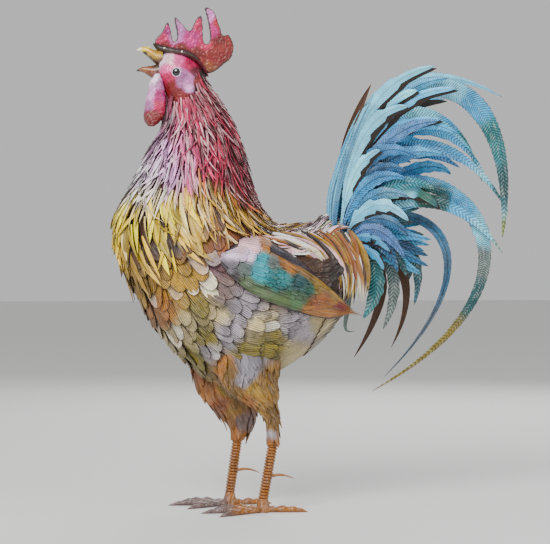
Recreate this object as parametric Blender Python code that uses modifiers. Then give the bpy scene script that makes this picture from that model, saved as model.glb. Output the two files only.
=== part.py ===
"""A crowing rooster, cut, folded and welded from painted sheet steel.

Metres, +Z up. The bird faces -X and stands on Z = 0. The free forms are drawn on a grid of
squares, as a metalworker squares up a drawing: GRID_SQUARES squares make the statue's height,
X counts squares from the origin and Z counts squares above the ground.
"""

import math

import bpy
from mathutils import Matrix, Vector

# Driving sizes, in metres
HEIGHT = 0.750
SHEET = 0.0012
CLEARANCE = 0.0003
FEATHER_SEAT = 0.0018
HACKLE_LIFT = 0.0085
HACKLE_LENGTH = 0.064
HACKLE_PITCH = 0.044
SCALE_LIFT = 0.0060
SCALE_LENGTH = 0.042
SCALE_PITCH = 0.029
SADDLE_LENGTH = 0.062
COMB_THICKNESS = 0.0090
SHANK_RADIUS = 0.0056
BINDING_WIRE = 0.0030
BINDING_TURNS = 16
STANCE_HALF_WIDTH = 0.045
TAIL_LANE = 0.0034
TAIL_FLARE = 0.200

GRID_SQUARES = 500
GRID = HEIGHT / GRID_SQUARES

# Along the bird's curved axis from the throat to the rump: the axis point (x, z), the way the
# breast side faces in degrees below straight ahead, then the reach to the breast side, the
# reach to the back, and the half width, all in grid squares but the angle.
BODY_STATIONS = (
    (-125.5, 405, 39, 25, 26, 22),
    (-122, 388, 26, 28, 32, 30),
    (-119, 361, 12, 42, 43, 38),
    (-117, 331, 10, 58, 49, 48),
    (-113, 301, 17, 83, 52, 58),
    (-99, 270, 38, 91, 52, 65),
    (-77, 246, 58, 104, 50, 70),
    (-49, 232, 74, 112, 47, 71),
    (-19, 228, 88, 85, 48, 66),
    (5, 233, 96, 60, 46, 55),
    (24, 243, 92, 52, 46, 42),
    (40, 252, 86, 32, 29, 28),
    (46, 255, 86, 12, 12, 12),
)
BODY_RINGS = 16
BODY_SEGMENTS = 16

# Rows of feathers start at a distance down the skin from the collar, in metres: the first
# figure along the breast line and the second along the back.
HACKLE_ROWS = [(0.002 + HACKLE_PITCH * i, 0.002 + HACKLE_PITCH * 0.93 * i) for i in range(6)]
HACKLE_FEATHERS = (10, 12, 12, 14, 14, 14)
BREAST_ROWS = [(0.263 + SCALE_PITCH * i, 0.205 + SCALE_PITCH * 0.75 * i) for i in range(5)]
BREAST_SCALES = 7
BREAST_ARC = (-84, 84)
SADDLE_ROWS = ((0.368, 0.235), (0.439, 0.262))
SADDLE_FEATHERS = 10
SADDLE_ARC = (92, 268)
RUMP_ROW = (0.476, 0.313)
RUMP_FEATHERS = 4
RUMP_LENGTH = 0.055
RUMP_ARC = (84, 136)

# Horizontal slices, top to bottom: centre x, height z, half length and half width, in squares
HEAD_SLICES = (
    (-139, 452.5, 8, 5),
    (-136, 448, 16, 11),
    (-132.5, 441, 21, 16),
    (-129.5, 433, 24, 19),
    (-127.5, 424, 22, 19),
    (-125, 414, 21, 18.5),
    (-125, 402, 19, 17),
    (-127, 392, 16, 14),
)
WATTLE_SLICES = (
    (-154, 432, 2, 2),
    (-155, 425, 6, 4),
    (-155, 415, 8, 5),
    (-155.5, 405, 9.5, 5.5),
    (-156.5, 395, 10, 5.5),
    (-158, 387, 8.5, 5),
    (-159.5, 381, 3, 2),
)
WATTLE_SPREAD = 7

# A beak half runs from its root to its tip: x, z, half height and half width, in squares
UPPER_BEAK = (
    (-156, 449, 8, 6.5), (-161, 453.5, 6.5, 5.2), (-166, 457, 4, 3.6),
    (-170.5, 458.5, 2, 2), (-174.5, 458, 0.5, 0.5),
)
LOWER_BEAK = (
    (-155.5, 436.5, 6.5, 6), (-160, 437, 5, 5), (-165.5, 438, 3.2, 3.6),
    (-170.5, 438.5, 1.7, 2), (-174.5, 436.5, 0.5, 0.5),
)

# The comb's outline, from the front of its root, up over the points and back under
COMB_OUTLINE = (
    (-154, 457.5), (-156, 465), (-149, 474), (-144, 483.5), (-141, 476), (-138.5, 466),
    (-134.5, 471), (-136.5, 488.5), (-130, 483), (-121.5, 475.5), (-114.5, 488), (-110, 490),
    (-109, 477), (-105, 463.8), (-100.5, 471), (-103, 487), (-106, 499.5), (-98, 495),
    (-93, 483), (-88.5, 471.5), (-83, 472), (-78, 461), (-80.5, 449.5), (-88, 443),
    (-95, 437), (-103, 434), (-110, 440.8), (-117, 446.8), (-128, 452.4), (-141, 453.6),
)

EYE = (-134.5, 434.5, 4.2)
EARLOBE = (-114.5, 423, 5.6)
EYE_DEPTH = 0.0018
EARLOBE_DEPTH = 0.0028

# Each leg: hock and ankle (x, z), in squares
LEFT_LEG = ((-42, 66), (-52, 13))
RIGHT_LEG = ((-70, 66), (-78, 13))
LEFT_THIGH_SLICES = (
    (-70, 178, 34, 22), (-68, 150, 32, 22), (-66, 128, 26, 19), (-61, 116, 22, 16),
    (-51, 105, 11, 11), (-44, 90, 6.2, 8), (-42, 66, 6.8, 6.5),
)
RIGHT_THIGH_SLICES = (
    (-88, 178, 33, 22), (-85, 150, 33, 22), (-82, 128, 31, 20), (-79, 112, 27, 18),
    (-70, 90, 17, 13), (-68, 77, 10.5, 9.5), (-70, 66, 6.8, 6.5),
)
ANKLE_RADIUS = 7.0
ANKLE_TOP_RADIUS = 5.0
ANKLE_BASE = 0.5
TOE_LENGTHS = {"outer": 58, "middle": 62, "inner": 54, "hind": 44}
TOE_DEGREES = {"outer": 36, "middle": 4, "inner": -32, "hind": 172}
TOE_ROOT = 5
TOE_HEIGHT = 7.0
TOE_HALF_WIDTH = 4.2
# A toe's half width and height at a share of its length, as shares of the greatest
TOE_TAPER = ((0, 0.3, 1.0), (0.22, 0.9, 0.95), (0.58, 1.0, 0.85), (0.83, 0.7, 0.6), (1.0, 0.12, 0.2))
SPUR_LENGTH = 22
SPUR_PLACE = 0.42
SPUR_TAPER = ((0, 1.7), (0.35, 1.4), (0.7, 0.9), (1, 0.25))

# The wing lies from its shoulder to its tip, with its reach above and below that line at a
# share of the way along, in squares
WING_SHOULDER = (-97, 250)
WING_TIP = (34, 198)
WING_OUTLINE = (
    (0.0, 9, 7), (0.08, 27, 14), (0.24, 33, 22), (0.42, 30, 24),
    (0.58, 25, 23), (0.72, 19, 21), (0.86, 12, 17), (1.0, 3, 5),
)
WING_HALF_SPANS = (79, 82, 83, 81, 77, 68, 58, 48)
WING_CROWN = 3
WING_COVERT_STEPS = 4
WING_COVERTS_END = 0.7
WING_QUILLS_START = 0.5
WING_QUILLS_ABOVE = 2.5
WING_QUILL_RELIEF = 1.5

# The tail feathers fan out from a point in the rump, and are cut off where they meet it
TAIL_CENTRE = (27, 260)
TAIL_ROOT_DEPTH = 8
RUMP_RADIUS = 32

# The tail's middle plate, with the tips of many short feathers cut along its edge
TAIL_FAN = (
    (26, 301), (37, 330), (49, 362), (58, 386), (63, 404), (74, 392), (90, 405), (88, 384),
    (118, 400), (104, 376), (134, 378), (112, 354), (140, 350), (116, 334), (138, 318),
    (110, 316), (128, 296), (100, 298), (112, 272), (88, 282), (94, 250), (74, 262),
    (76, 236), (60, 250), (36, 250), (26, 280),
)

# Each tail feather: its lane (minus is the left), the angle of its root round the tail's
# centre in degrees above level, two handles and the tip (x, z) and its width, in squares
TAIL_FEATHERS = {
    "tail_covert_upper": (-12, 97, (33, 352), (51, 404), (97, 414), 20),
    "tail_covert_front": (-11, 86, (38, 340), (66, 390), (122, 386), 19),
    "tail_covert_middle": (-10, 70, (44, 330), (74, 366), (126, 352), 18),
    "tail_covert_lower": (-9, 48, (55, 318), (95, 334), (123, 300), 18),
    "tail_fern": (-8, -6, (64, 258), (74, 224), (49, 190), 18),
    "tail_teal_sickle": (-7, 34, (66, 322), (142, 326), (189, 255), 17),
    "tail_great_sickle": (-6, 92, (41, 470), (212, 470), (190, 271), 18),
    "tail_long_sickle": (-5, 42, (85, 416), (306, 251), (59, 118), 18),
    "tail_blue_sickle": (-4, 62, (48, 370), (138, 404), (198, 297), 16),
    "tail_serrated": (-3, 4, (82, 266), (96, 226), (72, 179), 13),
    "tail_crown_streamer": (-2, 102, (43, 420), (99, 462), (194, 413), 15),
    "tail_olive_sickle": (-1, 18, (79, 292), (123, 262), (105, 203), 13),
    "tail_second_sickle": (1, 78, (47, 396), (131, 412), (180, 338), 16),
    "tail_thin_sickle": (2, 26, (91, 336), (221, 270), (77, 130), 10),
    "tail_first_sickle": (4, 86, (44, 410), (124, 424), (172, 357), 15),
    "tail_middle_sickle": (5, 46, (69, 340), (133, 356), (149, 336), 14),
    "tail_dark_blade": (6, 8, (95, 272), (121, 222), (87, 159), 10),
    "tail_dark_sickle": (7, -6, (90, 258), (86, 206), (49, 149), 11),
    "tail_rear_sickle": (8, 80, (50, 420), (154, 440), (186, 330), 17),
    "tail_curl": (9, -22, (61, 214), (23, 168), (51, 176), 5),
    "tail_rear_covert": (10, 70, (50, 346), (84, 384), (136, 366), 18),
    "tail_rear_hanger": (11, 14, (90, 300), (126, 268), (104, 222), 14),
    "tail_front_blade": (12, 100, (39, 344), (51, 392), (66, 421), 11),
}
TAIL_STEP = 0.048
TAIL_FOLD = 0.10

PAINT = {
    "crimson_enamel": ("c23a63", 0.45, 0.3),
    "yellow_enamel": ("d9b42c", 0.45, 0.3),
    "cream_enamel": ("b3a585", 0.55, 0.3),
    "red_enamel": ("c8362c", 0.4, 0.2),
    "ochre_enamel": ("c08a2e", 0.4, 0.4),
    "turquoise_enamel": ("4f9a9a", 0.5, 0.3),
    "rust_enamel": ("8a5a38", 0.6, 0.4),
    "copper_enamel": ("b06a35", 0.55, 0.4),
    "blue_enamel": ("76b4cf", 0.45, 0.4),
    "bare_steel": ("4d3d35", 0.55, 0.7),
    "black_enamel": ("15151a", 0.15, 0.0),
}


def paint(name):
    """The painted metal called name, made once."""
    found = bpy.data.materials.get(name)
    if found:
        return found
    code, roughness, metallic = PAINT[name]
    colour = [(int(code[i : i + 2], 16) / 255) ** 2.2 for i in (0, 2, 4)]
    material = bpy.data.materials.new(name)
    material.use_nodes = True
    shader = material.node_tree.nodes["Principled BSDF"]
    shader.inputs["Base Color"].default_value = (*colour, 1)
    shader.inputs["Roughness"].default_value = roughness
    shader.inputs["Metallic"].default_value = metallic
    return material


def add_mesh(name, points, faces, colour, collection):
    """An object of these points and faces, shaded smooth but for its sharp edges."""
    mesh = bpy.data.meshes.new(name)
    mesh.from_pydata([tuple(p) for p in points], [], faces)
    mesh.materials.append(paint(colour))
    mesh.shade_smooth()
    mesh.set_sharp_from_angle(angle=math.radians(35))
    made = bpy.data.objects.new(name, mesh)
    collection.objects.link(made)
    return made


def loft(name, rings, colour, collection):
    """A closed solid through rings of equally many points, each ring a closed loop."""
    size = len(rings[0])
    points = [p for ring in rings for p in ring]
    faces = [tuple(range(size))[::-1], tuple(range(len(points) - size, len(points)))]
    for r in range(len(rings) - 1):
        for i in range(size):
            a, b = r * size + i, r * size + (i + 1) % size
            faces.append((a, b, b + size, a + size))
    made = add_mesh(name, points, faces, colour, collection)
    face_outwards(made.data)
    return made


def face_outwards(mesh):
    """Turns the whole closed mesh round if it is inside out."""
    mesh.calc_loop_triangles()
    volume = 0.0
    for triangle in mesh.loop_triangles:
        a, b, c = (mesh.vertices[i].co for i in triangle.vertices)
        volume += a.dot(b.cross(c))
    if volume < 0:
        mesh.flip_normals()


def sheet(name, rows, wraps, colour, collection):
    """A piece of sheet steel on a lattice of points, thickened away from its inner face."""
    width = len(rows[0])
    points = [p for row in rows for p in row]
    faces = []
    for r in range(len(rows) - 1):
        for i in range(width if wraps else width - 1):
            j = (i + 1) % width
            faces.append(((r + 1) * width + i, (r + 1) * width + j, r * width + j, r * width + i))
    made = add_mesh(name, points, faces, colour, collection)
    gauge = made.modifiers.new("gauge", "SOLIDIFY")
    gauge.thickness = SHEET
    gauge.offset = 1
    return made


def spline(rows, place):
    """The row at a place between the rows, on a Catmull-Rom curve through them."""
    place = min(max(place, 0.0), len(rows) - 1.0)
    i = min(int(place), len(rows) - 2)
    f = place - i
    last = len(rows) - 1
    before, here, there, after = (rows[min(max(k, 0), last)] for k in (i - 1, i, i + 1, i + 2))
    return [
        0.5 * (2 * b + (c - a) * f + (2 * a - 5 * b + 4 * c - d) * f * f + (3 * b - a - 3 * c + d) * f**3)
        for a, b, c, d in zip(before, here, there, after)
    ]


def body_point(station, degrees):
    """A point of the body's skin: degrees turn from the breast line, 90 being the left side."""
    x, z, facing, breast, back, half_width = spline(BODY_STATIONS, station)
    turn, facing = math.radians(degrees), math.radians(facing)
    reach = math.cos(turn) * (breast if math.cos(turn) > 0 else back)
    return Vector(
        (
            x - math.cos(facing) * reach,
            -half_width * math.sin(turn),
            z - math.sin(facing) * reach,
        )
    ) * GRID


def lifted_body_point(station, degrees, lift):
    """A point over the body's skin, lift metres out along its normal."""
    step = 0.05
    along = body_point(station + step, degrees) - body_point(station - step, degrees)
    around = body_point(station, degrees + 2) - body_point(station, degrees - 2)
    return body_point(station, degrees) + along.cross(around).normalized() * lift


def build_body(collection, cutters):
    """The neck, breast, belly and rump, and the blank that other pieces are fitted to."""
    last = len(BODY_STATIONS) - 1
    stations = [last * i / (BODY_RINGS - 1) for i in range(BODY_RINGS)]
    turns = [360 * i / BODY_SEGMENTS for i in range(BODY_SEGMENTS)]
    loft("body", [[body_point(s, d) for d in turns] for s in stations], "cream_enamel", collection)
    skin = [
        [lifted_body_point(min(max(s, 0.06), last - 0.06), d, 2 * CLEARANCE) for d in turns]
        for s in stations
    ]
    upwards = Vector((0, 1, 0)).cross(body_point(0, 0) - body_point(0, 180)).normalized()
    skin[0] = [point + upwards * 4 * CLEARANCE for point in skin[0]]
    skin[-1] = [point + Vector((4 * CLEARANCE, 0, 0)) for point in skin[-1]]
    return make_cutter(loft("skin_blank", skin, "cream_enamel", cutters), cutters)


def build_plumage_blank(cutters):
    """The space that the breast feathers take up, for what is tucked under their tips."""
    lift = FEATHER_SEAT + SCALE_LIFT * 7 / 6 + SHEET + 2 * CLEARANCE
    step = (BREAST_ARC[1] - BREAST_ARC[0]) / (3 * BREAST_SCALES)
    lines = []
    for i in range(int(360 / step)):
        degrees = BREAST_ARC[0] + step * i
        end = row_start(BREAST_ROWS[-1], degrees) + SCALE_LENGTH + 4 * CLEARANCE
        distances = [end * (0.4 + 0.6 * share / 6) for share in range(7)]
        lines.append([lifted_body_point(s, degrees, lift) for s in stations_at(degrees, distances)])
    rings = [list(ring) for ring in zip(*lines)]
    return make_cutter(loft("plumage_blank", rings, "cream_enamel", cutters), cutters)


def make_cutter(made, cutters):
    """Puts a helper with the cutters, so that it isn't part of the statue."""
    for collection in list(made.users_collection):
        collection.objects.unlink(made)
    cutters.objects.link(made)
    made.hide_render = True
    made.display_type = "WIRE"
    return made


def feather_edge(phase, rounded):
    """How far a feather of a row reaches at this place across it, as a share of its length."""
    from_quill = abs(2 * phase - 1)
    if rounded:
        return 0.62 + 0.38 * math.sqrt(max(0.0, 1 - from_quill**2))
    return 1 - 0.5 * from_quill


def stations_at(degrees, distances):
    """The stations found at these distances down the skin from the collar, on one line."""
    found = []
    station, walked, here = 0.0, 0.0, body_point(0.0, degrees)
    for distance in distances:
        while walked < distance and station < len(BODY_STATIONS) - 1.1:
            station += 0.02
            there = body_point(station, degrees)
            walked += (there - here).length
            here = there
        found.append(station)
    return found


def row_start(starts, degrees):
    """How far from the collar a row starts, round the body from the breast line to the back."""
    return starts[0] + (starts[1] - starts[0]) * (1 - math.cos(math.radians(degrees))) / 2


def feather_row(name, starts, length, count, arc, rounded, lift, colour, collection):
    """A row of feathers welded side by side round the body, free and lifted at their tips.

    The row starts at the first distance from the collar on the breast line and at the second
    on the back, and runs round from arc's first angle to its last.
    """
    across = 3 if rounded else 2
    wraps = arc[1] - arc[0] == 360
    columns = count * across + (0 if wraps else 1)
    lattice = []
    for column in range(columns):
        degrees = arc[0] + (arc[1] - arc[0]) * column / (count * across)
        start = row_start(starts, degrees)
        phase = column % across / across
        reaches = [share * feather_edge(phase, rounded) for share in (0.0, 0.5, 1.0)]
        stations = stations_at(degrees, [start + length * reach for reach in reaches])
        ridge = math.sin(math.pi * phase) * lift / 6
        lattice.append(
            [
                lifted_body_point(station, degrees, FEATHER_SEAT + (lift + ridge) * reach)
                for station, reach in zip(stations, reaches)
            ]
        )
    return sheet(name, [list(row) for row in zip(*lattice)], wraps, colour, collection)


def build_plumage(collection):
    """The hackle, breast and saddle, row by row from the head back."""
    for i, (starts, count) in enumerate(zip(HACKLE_ROWS, HACKLE_FEATHERS), 1):
        colour = "crimson_enamel" if i <= 3 else "yellow_enamel"
        turned = 180 / count * (i % 2)
        feather_row(
            f"hackle_row_{i}", starts, HACKLE_LENGTH, count, (turned, 360 + turned),
            False, HACKLE_LIFT, colour, collection,
        )
    for i, starts in enumerate(BREAST_ROWS, 1):
        feather_row(
            f"breast_row_{i}", starts, SCALE_LENGTH, BREAST_SCALES, BREAST_ARC,
            True, SCALE_LIFT, "cream_enamel", collection,
        )
    for i, starts in enumerate(SADDLE_ROWS, 1):
        feather_row(
            f"saddle_row_{i}", starts, SADDLE_LENGTH, SADDLE_FEATHERS, SADDLE_ARC,
            False, HACKLE_LIFT, "crimson_enamel", collection,
        )
    for word, arc in (("left", RUMP_ARC), ("right", (360 - RUMP_ARC[1], 360 - RUMP_ARC[0]))):
        feather_row(
            f"{word}_rump_row", RUMP_ROW, RUMP_LENGTH, RUMP_FEATHERS, arc,
            False, HACKLE_LIFT, "yellow_enamel", collection,
        )


def slice_rings(slices, y_centre, segments):
    """Level oval rings from (x, z, half length, half width) slices in squares."""
    turns = [2 * math.pi * i / segments for i in range(segments)]
    return [
        [
            Vector((x + length * math.cos(t), y_centre + width * math.sin(t), z)) * GRID
            for t in turns
        ]
        for x, z, length, width in slices
    ]


def horn(name, stops, segments, y_centre, colour, collection):
    """A tapering curved horn through (x, z, half height, half width) stops in squares."""
    rings = []
    for i, (x, z, height, width) in enumerate(stops):
        first, last = stops[max(i - 1, 0)], stops[min(i + 1, len(stops) - 1)]
        heading = Vector((last[0] - first[0], 0, last[1] - first[1])).normalized()
        upwards = Vector((-heading.z, 0, heading.x))
        ring = []
        for k in range(segments):
            turn = 2 * math.pi * k / segments
            offset = upwards * height * math.cos(turn) + Vector((0, width * math.sin(turn), 0))
            ring.append((Vector((x, y_centre, z)) + offset) * GRID)
        rings.append(ring)
    return loft(name, rings, colour, collection)


def head_skin(x, z):
    """A point on the left of the head at x and z in squares, and the way the skin faces."""
    for upper, lower in zip(HEAD_SLICES, HEAD_SLICES[1:]):
        if lower[1] <= z <= upper[1]:
            share = (upper[1] - z) / (upper[1] - lower[1])
            centre, _, length, width = (a + share * (b - a) for a, b in zip(upper, lower))
            widening = (lower[3] - upper[3]) / (upper[1] - lower[1])
    along = (x - centre) / length
    beside = math.sqrt(1 - along**2)
    normal = Vector((along / length, -beside / width, widening * beside / width)).normalized()
    return Vector((x, -width * beside, z)) * GRID, normal


def build_face_disc(name, place, depth, side, colour, collection):
    """A lens on the side of the head, such as an eye: place is x, z and radius in squares."""
    skin, normal = head_skin(*place[:2])
    radius = place[2] * GRID
    centre = skin + normal * (depth + 2 * CLEARANCE + radius**2 / (2 * HEAD_SLICES[3][3] * GRID))
    bpy.ops.mesh.primitive_uv_sphere_add(segments=8, ring_count=4, radius=1)
    lens = bpy.context.object
    lens.data.transform(Matrix.Diagonal((radius, radius, depth, 1)))
    lens.data.transform(normal.to_track_quat("Z", "Y").to_matrix().to_4x4())
    lens.data.transform(Matrix.Translation(centre))
    if side > 0:
        lens.data.transform(Matrix.Diagonal((1, -1, 1, 1)))
        lens.data.flip_normals()
    lens.name = name
    lens.data.shade_smooth()
    lens.data.materials.append(paint(colour))
    for used in list(lens.users_collection):
        used.objects.unlink(lens)
    collection.objects.link(lens)


def build_comb(collection):
    """The comb, a thick plate standing along the middle of the crown."""
    curve = bpy.data.curves.new("comb", "CURVE")
    curve.dimensions = "2D"
    curve.fill_mode = "BOTH"
    curve.extrude = COMB_THICKNESS / 2
    curve.resolution_u = 2
    outline = curve.splines.new("BEZIER")
    outline.bezier_points.add(len(COMB_OUTLINE) - 1)
    for point, (x, z) in zip(outline.bezier_points, COMB_OUTLINE):
        point.co = (x * GRID, z * GRID, 0)
        point.handle_left_type = point.handle_right_type = "AUTO"
    outline.use_cyclic_u = True
    curve.materials.append(paint("red_enamel"))
    comb = bpy.data.objects.new("comb", curve)
    comb.rotation_euler = (math.pi / 2, 0, 0)
    collection.objects.link(comb)


def fit_to(made, blank):
    """Cuts a piece so that it seats against a blank."""
    fit = made.modifiers.new(f"fitted to {blank.name}", "BOOLEAN")
    fit.operation = "DIFFERENCE"
    fit.object = blank


def build_head(skin_blank, collection):
    """The head, with its comb, beak, wattles, ear lobes and eyes."""
    fit_to(loft("head", slice_rings(HEAD_SLICES, 0, 14), "red_enamel", collection), skin_blank)
    build_comb(collection)
    horn("upper_beak", UPPER_BEAK, 8, 0, "ochre_enamel", collection)
    horn("lower_beak", LOWER_BEAK, 8, 0, "ochre_enamel", collection)
    for side, word in ((-1, "left"), (1, "right")):
        rings = slice_rings(WATTLE_SLICES, side * WATTLE_SPREAD, 6)
        loft(f"{word}_wattle", rings, "red_enamel", collection)
        build_face_disc(f"{word}_eye", EYE, EYE_DEPTH, side, "black_enamel", collection)
        build_face_disc(f"{word}_ear_lobe", EARLOBE, EARLOBE_DEPTH, side, "red_enamel", collection)


def build_thigh(word, slices, y, blanks, collection):
    """The feathered thigh, fitted to the belly above and ending at the hock."""
    thigh = loft(f"{word}_thigh", slice_rings(slices, y / GRID, 10), "rust_enamel", collection)
    for blank in blanks:
        fit_to(thigh, blank)


def build_shank(word, leg, y, collection):
    """The shank, a rod bound round with wire, from the hock down to the ankle."""
    hock, ankle = leg
    top = Vector((hock[0] * GRID, y, hock[1] * GRID - 4 * CLEARANCE))
    foot = Vector((ankle[0] * GRID, y, ankle[1] * GRID + 4 * CLEARANCE))
    length = (top - foot).length
    pitch = length / BINDING_TURNS
    profile = [(0, length)]
    for turn in range(BINDING_TURNS):
        height = length - turn * pitch
        profile.append((SHANK_RADIUS, height))
        profile.append((SHANK_RADIUS + BINDING_WIRE / 2, height - pitch / 2))
    profile += [(SHANK_RADIUS, 0), (0, 0)]
    edges = [(i, i + 1) for i in range(len(profile) - 1)]
    mesh = bpy.data.meshes.new(f"{word}_shank")
    mesh.from_pydata([(r, 0, z) for r, z in profile], edges, [])
    mesh.materials.append(paint("copper_enamel"))
    shank = bpy.data.objects.new(f"{word}_shank", mesh)
    shank.location = foot
    shank.rotation_mode = "QUATERNION"
    shank.rotation_quaternion = Vector((0, 0, 1)).rotation_difference(top - foot)
    collection.objects.link(shank)
    turned = shank.modifiers.new("turned", "SCREW")
    turned.steps = turned.render_steps = 6
    turned.use_merge_vertices = True
    turned.merge_threshold = 0.00001
    turned.use_normal_calculate = True


def toe_rings(ankle_x, y, degrees, length):
    """Rings of one toe, flat below, from the middle of the foot out to the claw."""
    turn = math.radians(degrees)
    ahead = Vector((-math.cos(turn), -math.sin(turn), 0))
    across = Vector((-ahead.y, ahead.x, 0))
    start = Vector((ankle_x, y, 0))
    rings = []
    for share, width, height in TOE_TAPER:
        centre = start + ahead * (TOE_ROOT + (length - TOE_ROOT) * share)
        half, top = TOE_HALF_WIDTH * width, TOE_HEIGHT * height
        section = ((-half, 0), (half, 0), (0.8 * half, 0.6 * top), (0, top), (-0.8 * half, 0.6 * top))
        rings.append([(centre + across * a + Vector((0, 0, b))) * GRID for a, b in section])
    return rings


def build_foot(word, leg, y, outer, collection, cutters):
    """The foot: three toes ahead, one behind, and the ankle that the shank stands on."""
    ankle_x, ankle_z = leg[1]
    ankle = [(ankle_x, ankle_z, ANKLE_TOP_RADIUS, ANKLE_TOP_RADIUS)]
    ankle += [(ankle_x, z, ANKLE_RADIUS, ANKLE_RADIUS) for z in (ankle_z * 0.55, ANKLE_BASE)]
    foot = loft(f"{word}_foot", slice_rings(ankle, y / GRID, 8), "copper_enamel", collection)
    for toe, length in TOE_LENGTHS.items():
        rings = toe_rings(ankle_x, y / GRID, -outer * TOE_DEGREES[toe], length)
        blank = make_cutter(loft(f"{word}_{toe}_toe_blank", rings, "copper_enamel", cutters), cutters)
        weld = foot.modifiers.new(f"{toe} toe", "BOOLEAN")
        weld.operation = "UNION"
        weld.object = blank


def build_spur(word, leg, y, collection):
    """The spur that curves back from the shank, a little under half of the way up."""
    hock, ankle = leg
    x = ankle[0] + (hock[0] - ankle[0]) * SPUR_PLACE
    z = ankle[1] + (hock[1] - ankle[1]) * SPUR_PLACE
    root = x + (SHANK_RADIUS + BINDING_WIRE / 2 + CLEARANCE) * 1.05 / GRID
    stops = [
        (root + SPUR_LENGTH * s, z + 2.5 * math.sin(math.pi * s) - 3 * s, r, r)
        for s, r in SPUR_TAPER
    ]
    horn(f"{word}_spur", stops, 6, y / GRID, "copper_enamel", collection)


def build_legs(blanks, collection, cutters):
    """Both legs, from the thighs down to the toes."""
    for word, leg, thigh_slices, outer in (
        ("left", LEFT_LEG, LEFT_THIGH_SLICES, -1),
        ("right", RIGHT_LEG, RIGHT_THIGH_SLICES, 1),
    ):
        y = outer * STANCE_HALF_WIDTH
        build_thigh(word, thigh_slices, y, blanks, collection)
        build_shank(word, leg, y, collection)
        build_foot(word, leg, y, outer, collection, cutters)
        build_spur(word, leg, y, collection)


def wing_point(along, across, side):
    """A point of the wing: along runs 0 to 1 from shoulder to tip, across -1 to 1 upwards."""
    place = along * (len(WING_HALF_SPANS) - 1)
    (half_span,) = spline([(s,) for s in WING_HALF_SPANS], place)
    above, below = wing_reach(along)
    axis = Vector((WING_TIP[0] - WING_SHOULDER[0], 0, WING_TIP[1] - WING_SHOULDER[1]))
    upwards = Vector((-axis.z, 0, axis.x)).normalized()
    centre = Vector((WING_SHOULDER[0], 0, WING_SHOULDER[1])) + axis * along
    step = along * WING_COVERT_STEPS
    tilt = step - math.floor(step) if along < WING_COVERTS_END else 0
    fluting = abs(math.sin(across * math.pi * WING_QUILLS_ABOVE))
    quills = WING_QUILL_RELIEF * fluting if along > WING_QUILLS_START else 0
    out = half_span - WING_CROWN * across**2 + tilt + quills
    point = centre + upwards * (above if across > 0 else below) * across
    return Vector((point.x * GRID, side * out * GRID, point.z * GRID))


def wing_reach(along):
    """The wing's reach above and below its line, at a share of the way along."""
    for first, last in zip(WING_OUTLINE, WING_OUTLINE[1:]):
        if along <= last[0]:
            share = (along - first[0]) / (last[0] - first[0])
            return [a + (b - a) * share for a, b in zip(first[1:], last[1:])]
    return WING_OUTLINE[-1][1:]


def build_wings(collection):
    """Both wings, one pressed sheet each, stepped at the coverts and fluted at the quills."""
    alongs = [i / 11 for i in range(12)]
    acrosses = [-1 + i / 2 for i in range(5)]
    for side, word in ((-1, "left"), (1, "right")):
        rows = [[wing_point(a, -side * b, side) for b in acrosses] for a in alongs]
        sheet(f"{word}_wing", rows, False, "turquoise_enamel", collection)


def bezier(stops, share):
    """The point and the heading at a share of the way along a cubic curve."""
    a, b, c, d = stops
    rest = 1 - share
    point = a * rest**3 + b * 3 * rest**2 * share + c * 3 * rest * share**2 + d * share**3
    heading = (b - a) * rest**2 + (c - b) * 2 * rest * share + (d - c) * share**2
    return point, heading.normalized()


def tail_blade_width(share):
    """A tail feather's width along its length, as a share of its greatest."""
    quill = 0.42 + 0.58 * min(1.0, share / 0.25) ** 0.8
    point = min(1.0, (1 - share) / 0.45) ** 0.75
    return max(0.05, quill * point)


def tail_spread(point):
    """How much wider a lane is here than at the tail's root."""
    away = (point - Vector((TAIL_CENTRE[0], 0, TAIL_CENTRE[1])) * GRID).length
    return 1 + (away - RUMP_RADIUS * GRID) / TAIL_FLARE


def build_tail_fan(skin_blank, collection):
    """The middle plate of the tail, which stands on the rump."""
    faces = [tuple(range(len(TAIL_FAN)))]
    points = [Vector((x * GRID, SHEET / 2, z * GRID)) for x, z in TAIL_FAN]
    fan = add_mesh("tail_fan", points, faces, "blue_enamel", collection)
    gauge = fan.modifiers.new("gauge", "SOLIDIFY")
    gauge.thickness = SHEET
    gauge.offset = -1
    fit_to(fan, skin_blank)


def build_tail_feather(name, spec, skin_blank, collection):
    """One tail feather: a long blade folded along its quill, in its own lane.

    Feathers never touch, because each keeps its share of a spread that grows with the
    distance from the tail's centre, the same for all of them.
    """
    lane, root_degrees, first, second, tip, width = spec
    turn = math.radians(root_degrees)
    centre = Vector((TAIL_CENTRE[0], 0, TAIL_CENTRE[1])) * GRID
    root = centre + Vector((math.cos(turn), 0, math.sin(turn))) * TAIL_ROOT_DEPTH * GRID
    stops = [root, *(Vector((x, 0, z)) * GRID for x, z in (first, second, tip))]
    side = -1 if lane < 0 else 1
    run = sum((b - a).length for a, b in zip(stops, stops[1:]))
    steps = max(4, round(run / TAIL_STEP))
    rows = []
    for i in range(steps + 1):
        share = i / steps
        point, heading = bezier(stops, share)
        across = Vector((-heading.z, 0, heading.x)) * -side
        half = width * GRID / 2 * tail_blade_width(share)
        row = []
        for place in (-1, 0, 1):
            edge = point + across * half * place
            fold = TAIL_FOLD * half * (1 - abs(place)) * 2
            edge.y = lane * TAIL_LANE * tail_spread(edge) + side * fold
            row.append(edge)
        rows.append(row)
    feather = sheet(name, rows, False, "blue_enamel" if lane < 0 else "bare_steel", collection)
    fit_to(feather, skin_blank)


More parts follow.
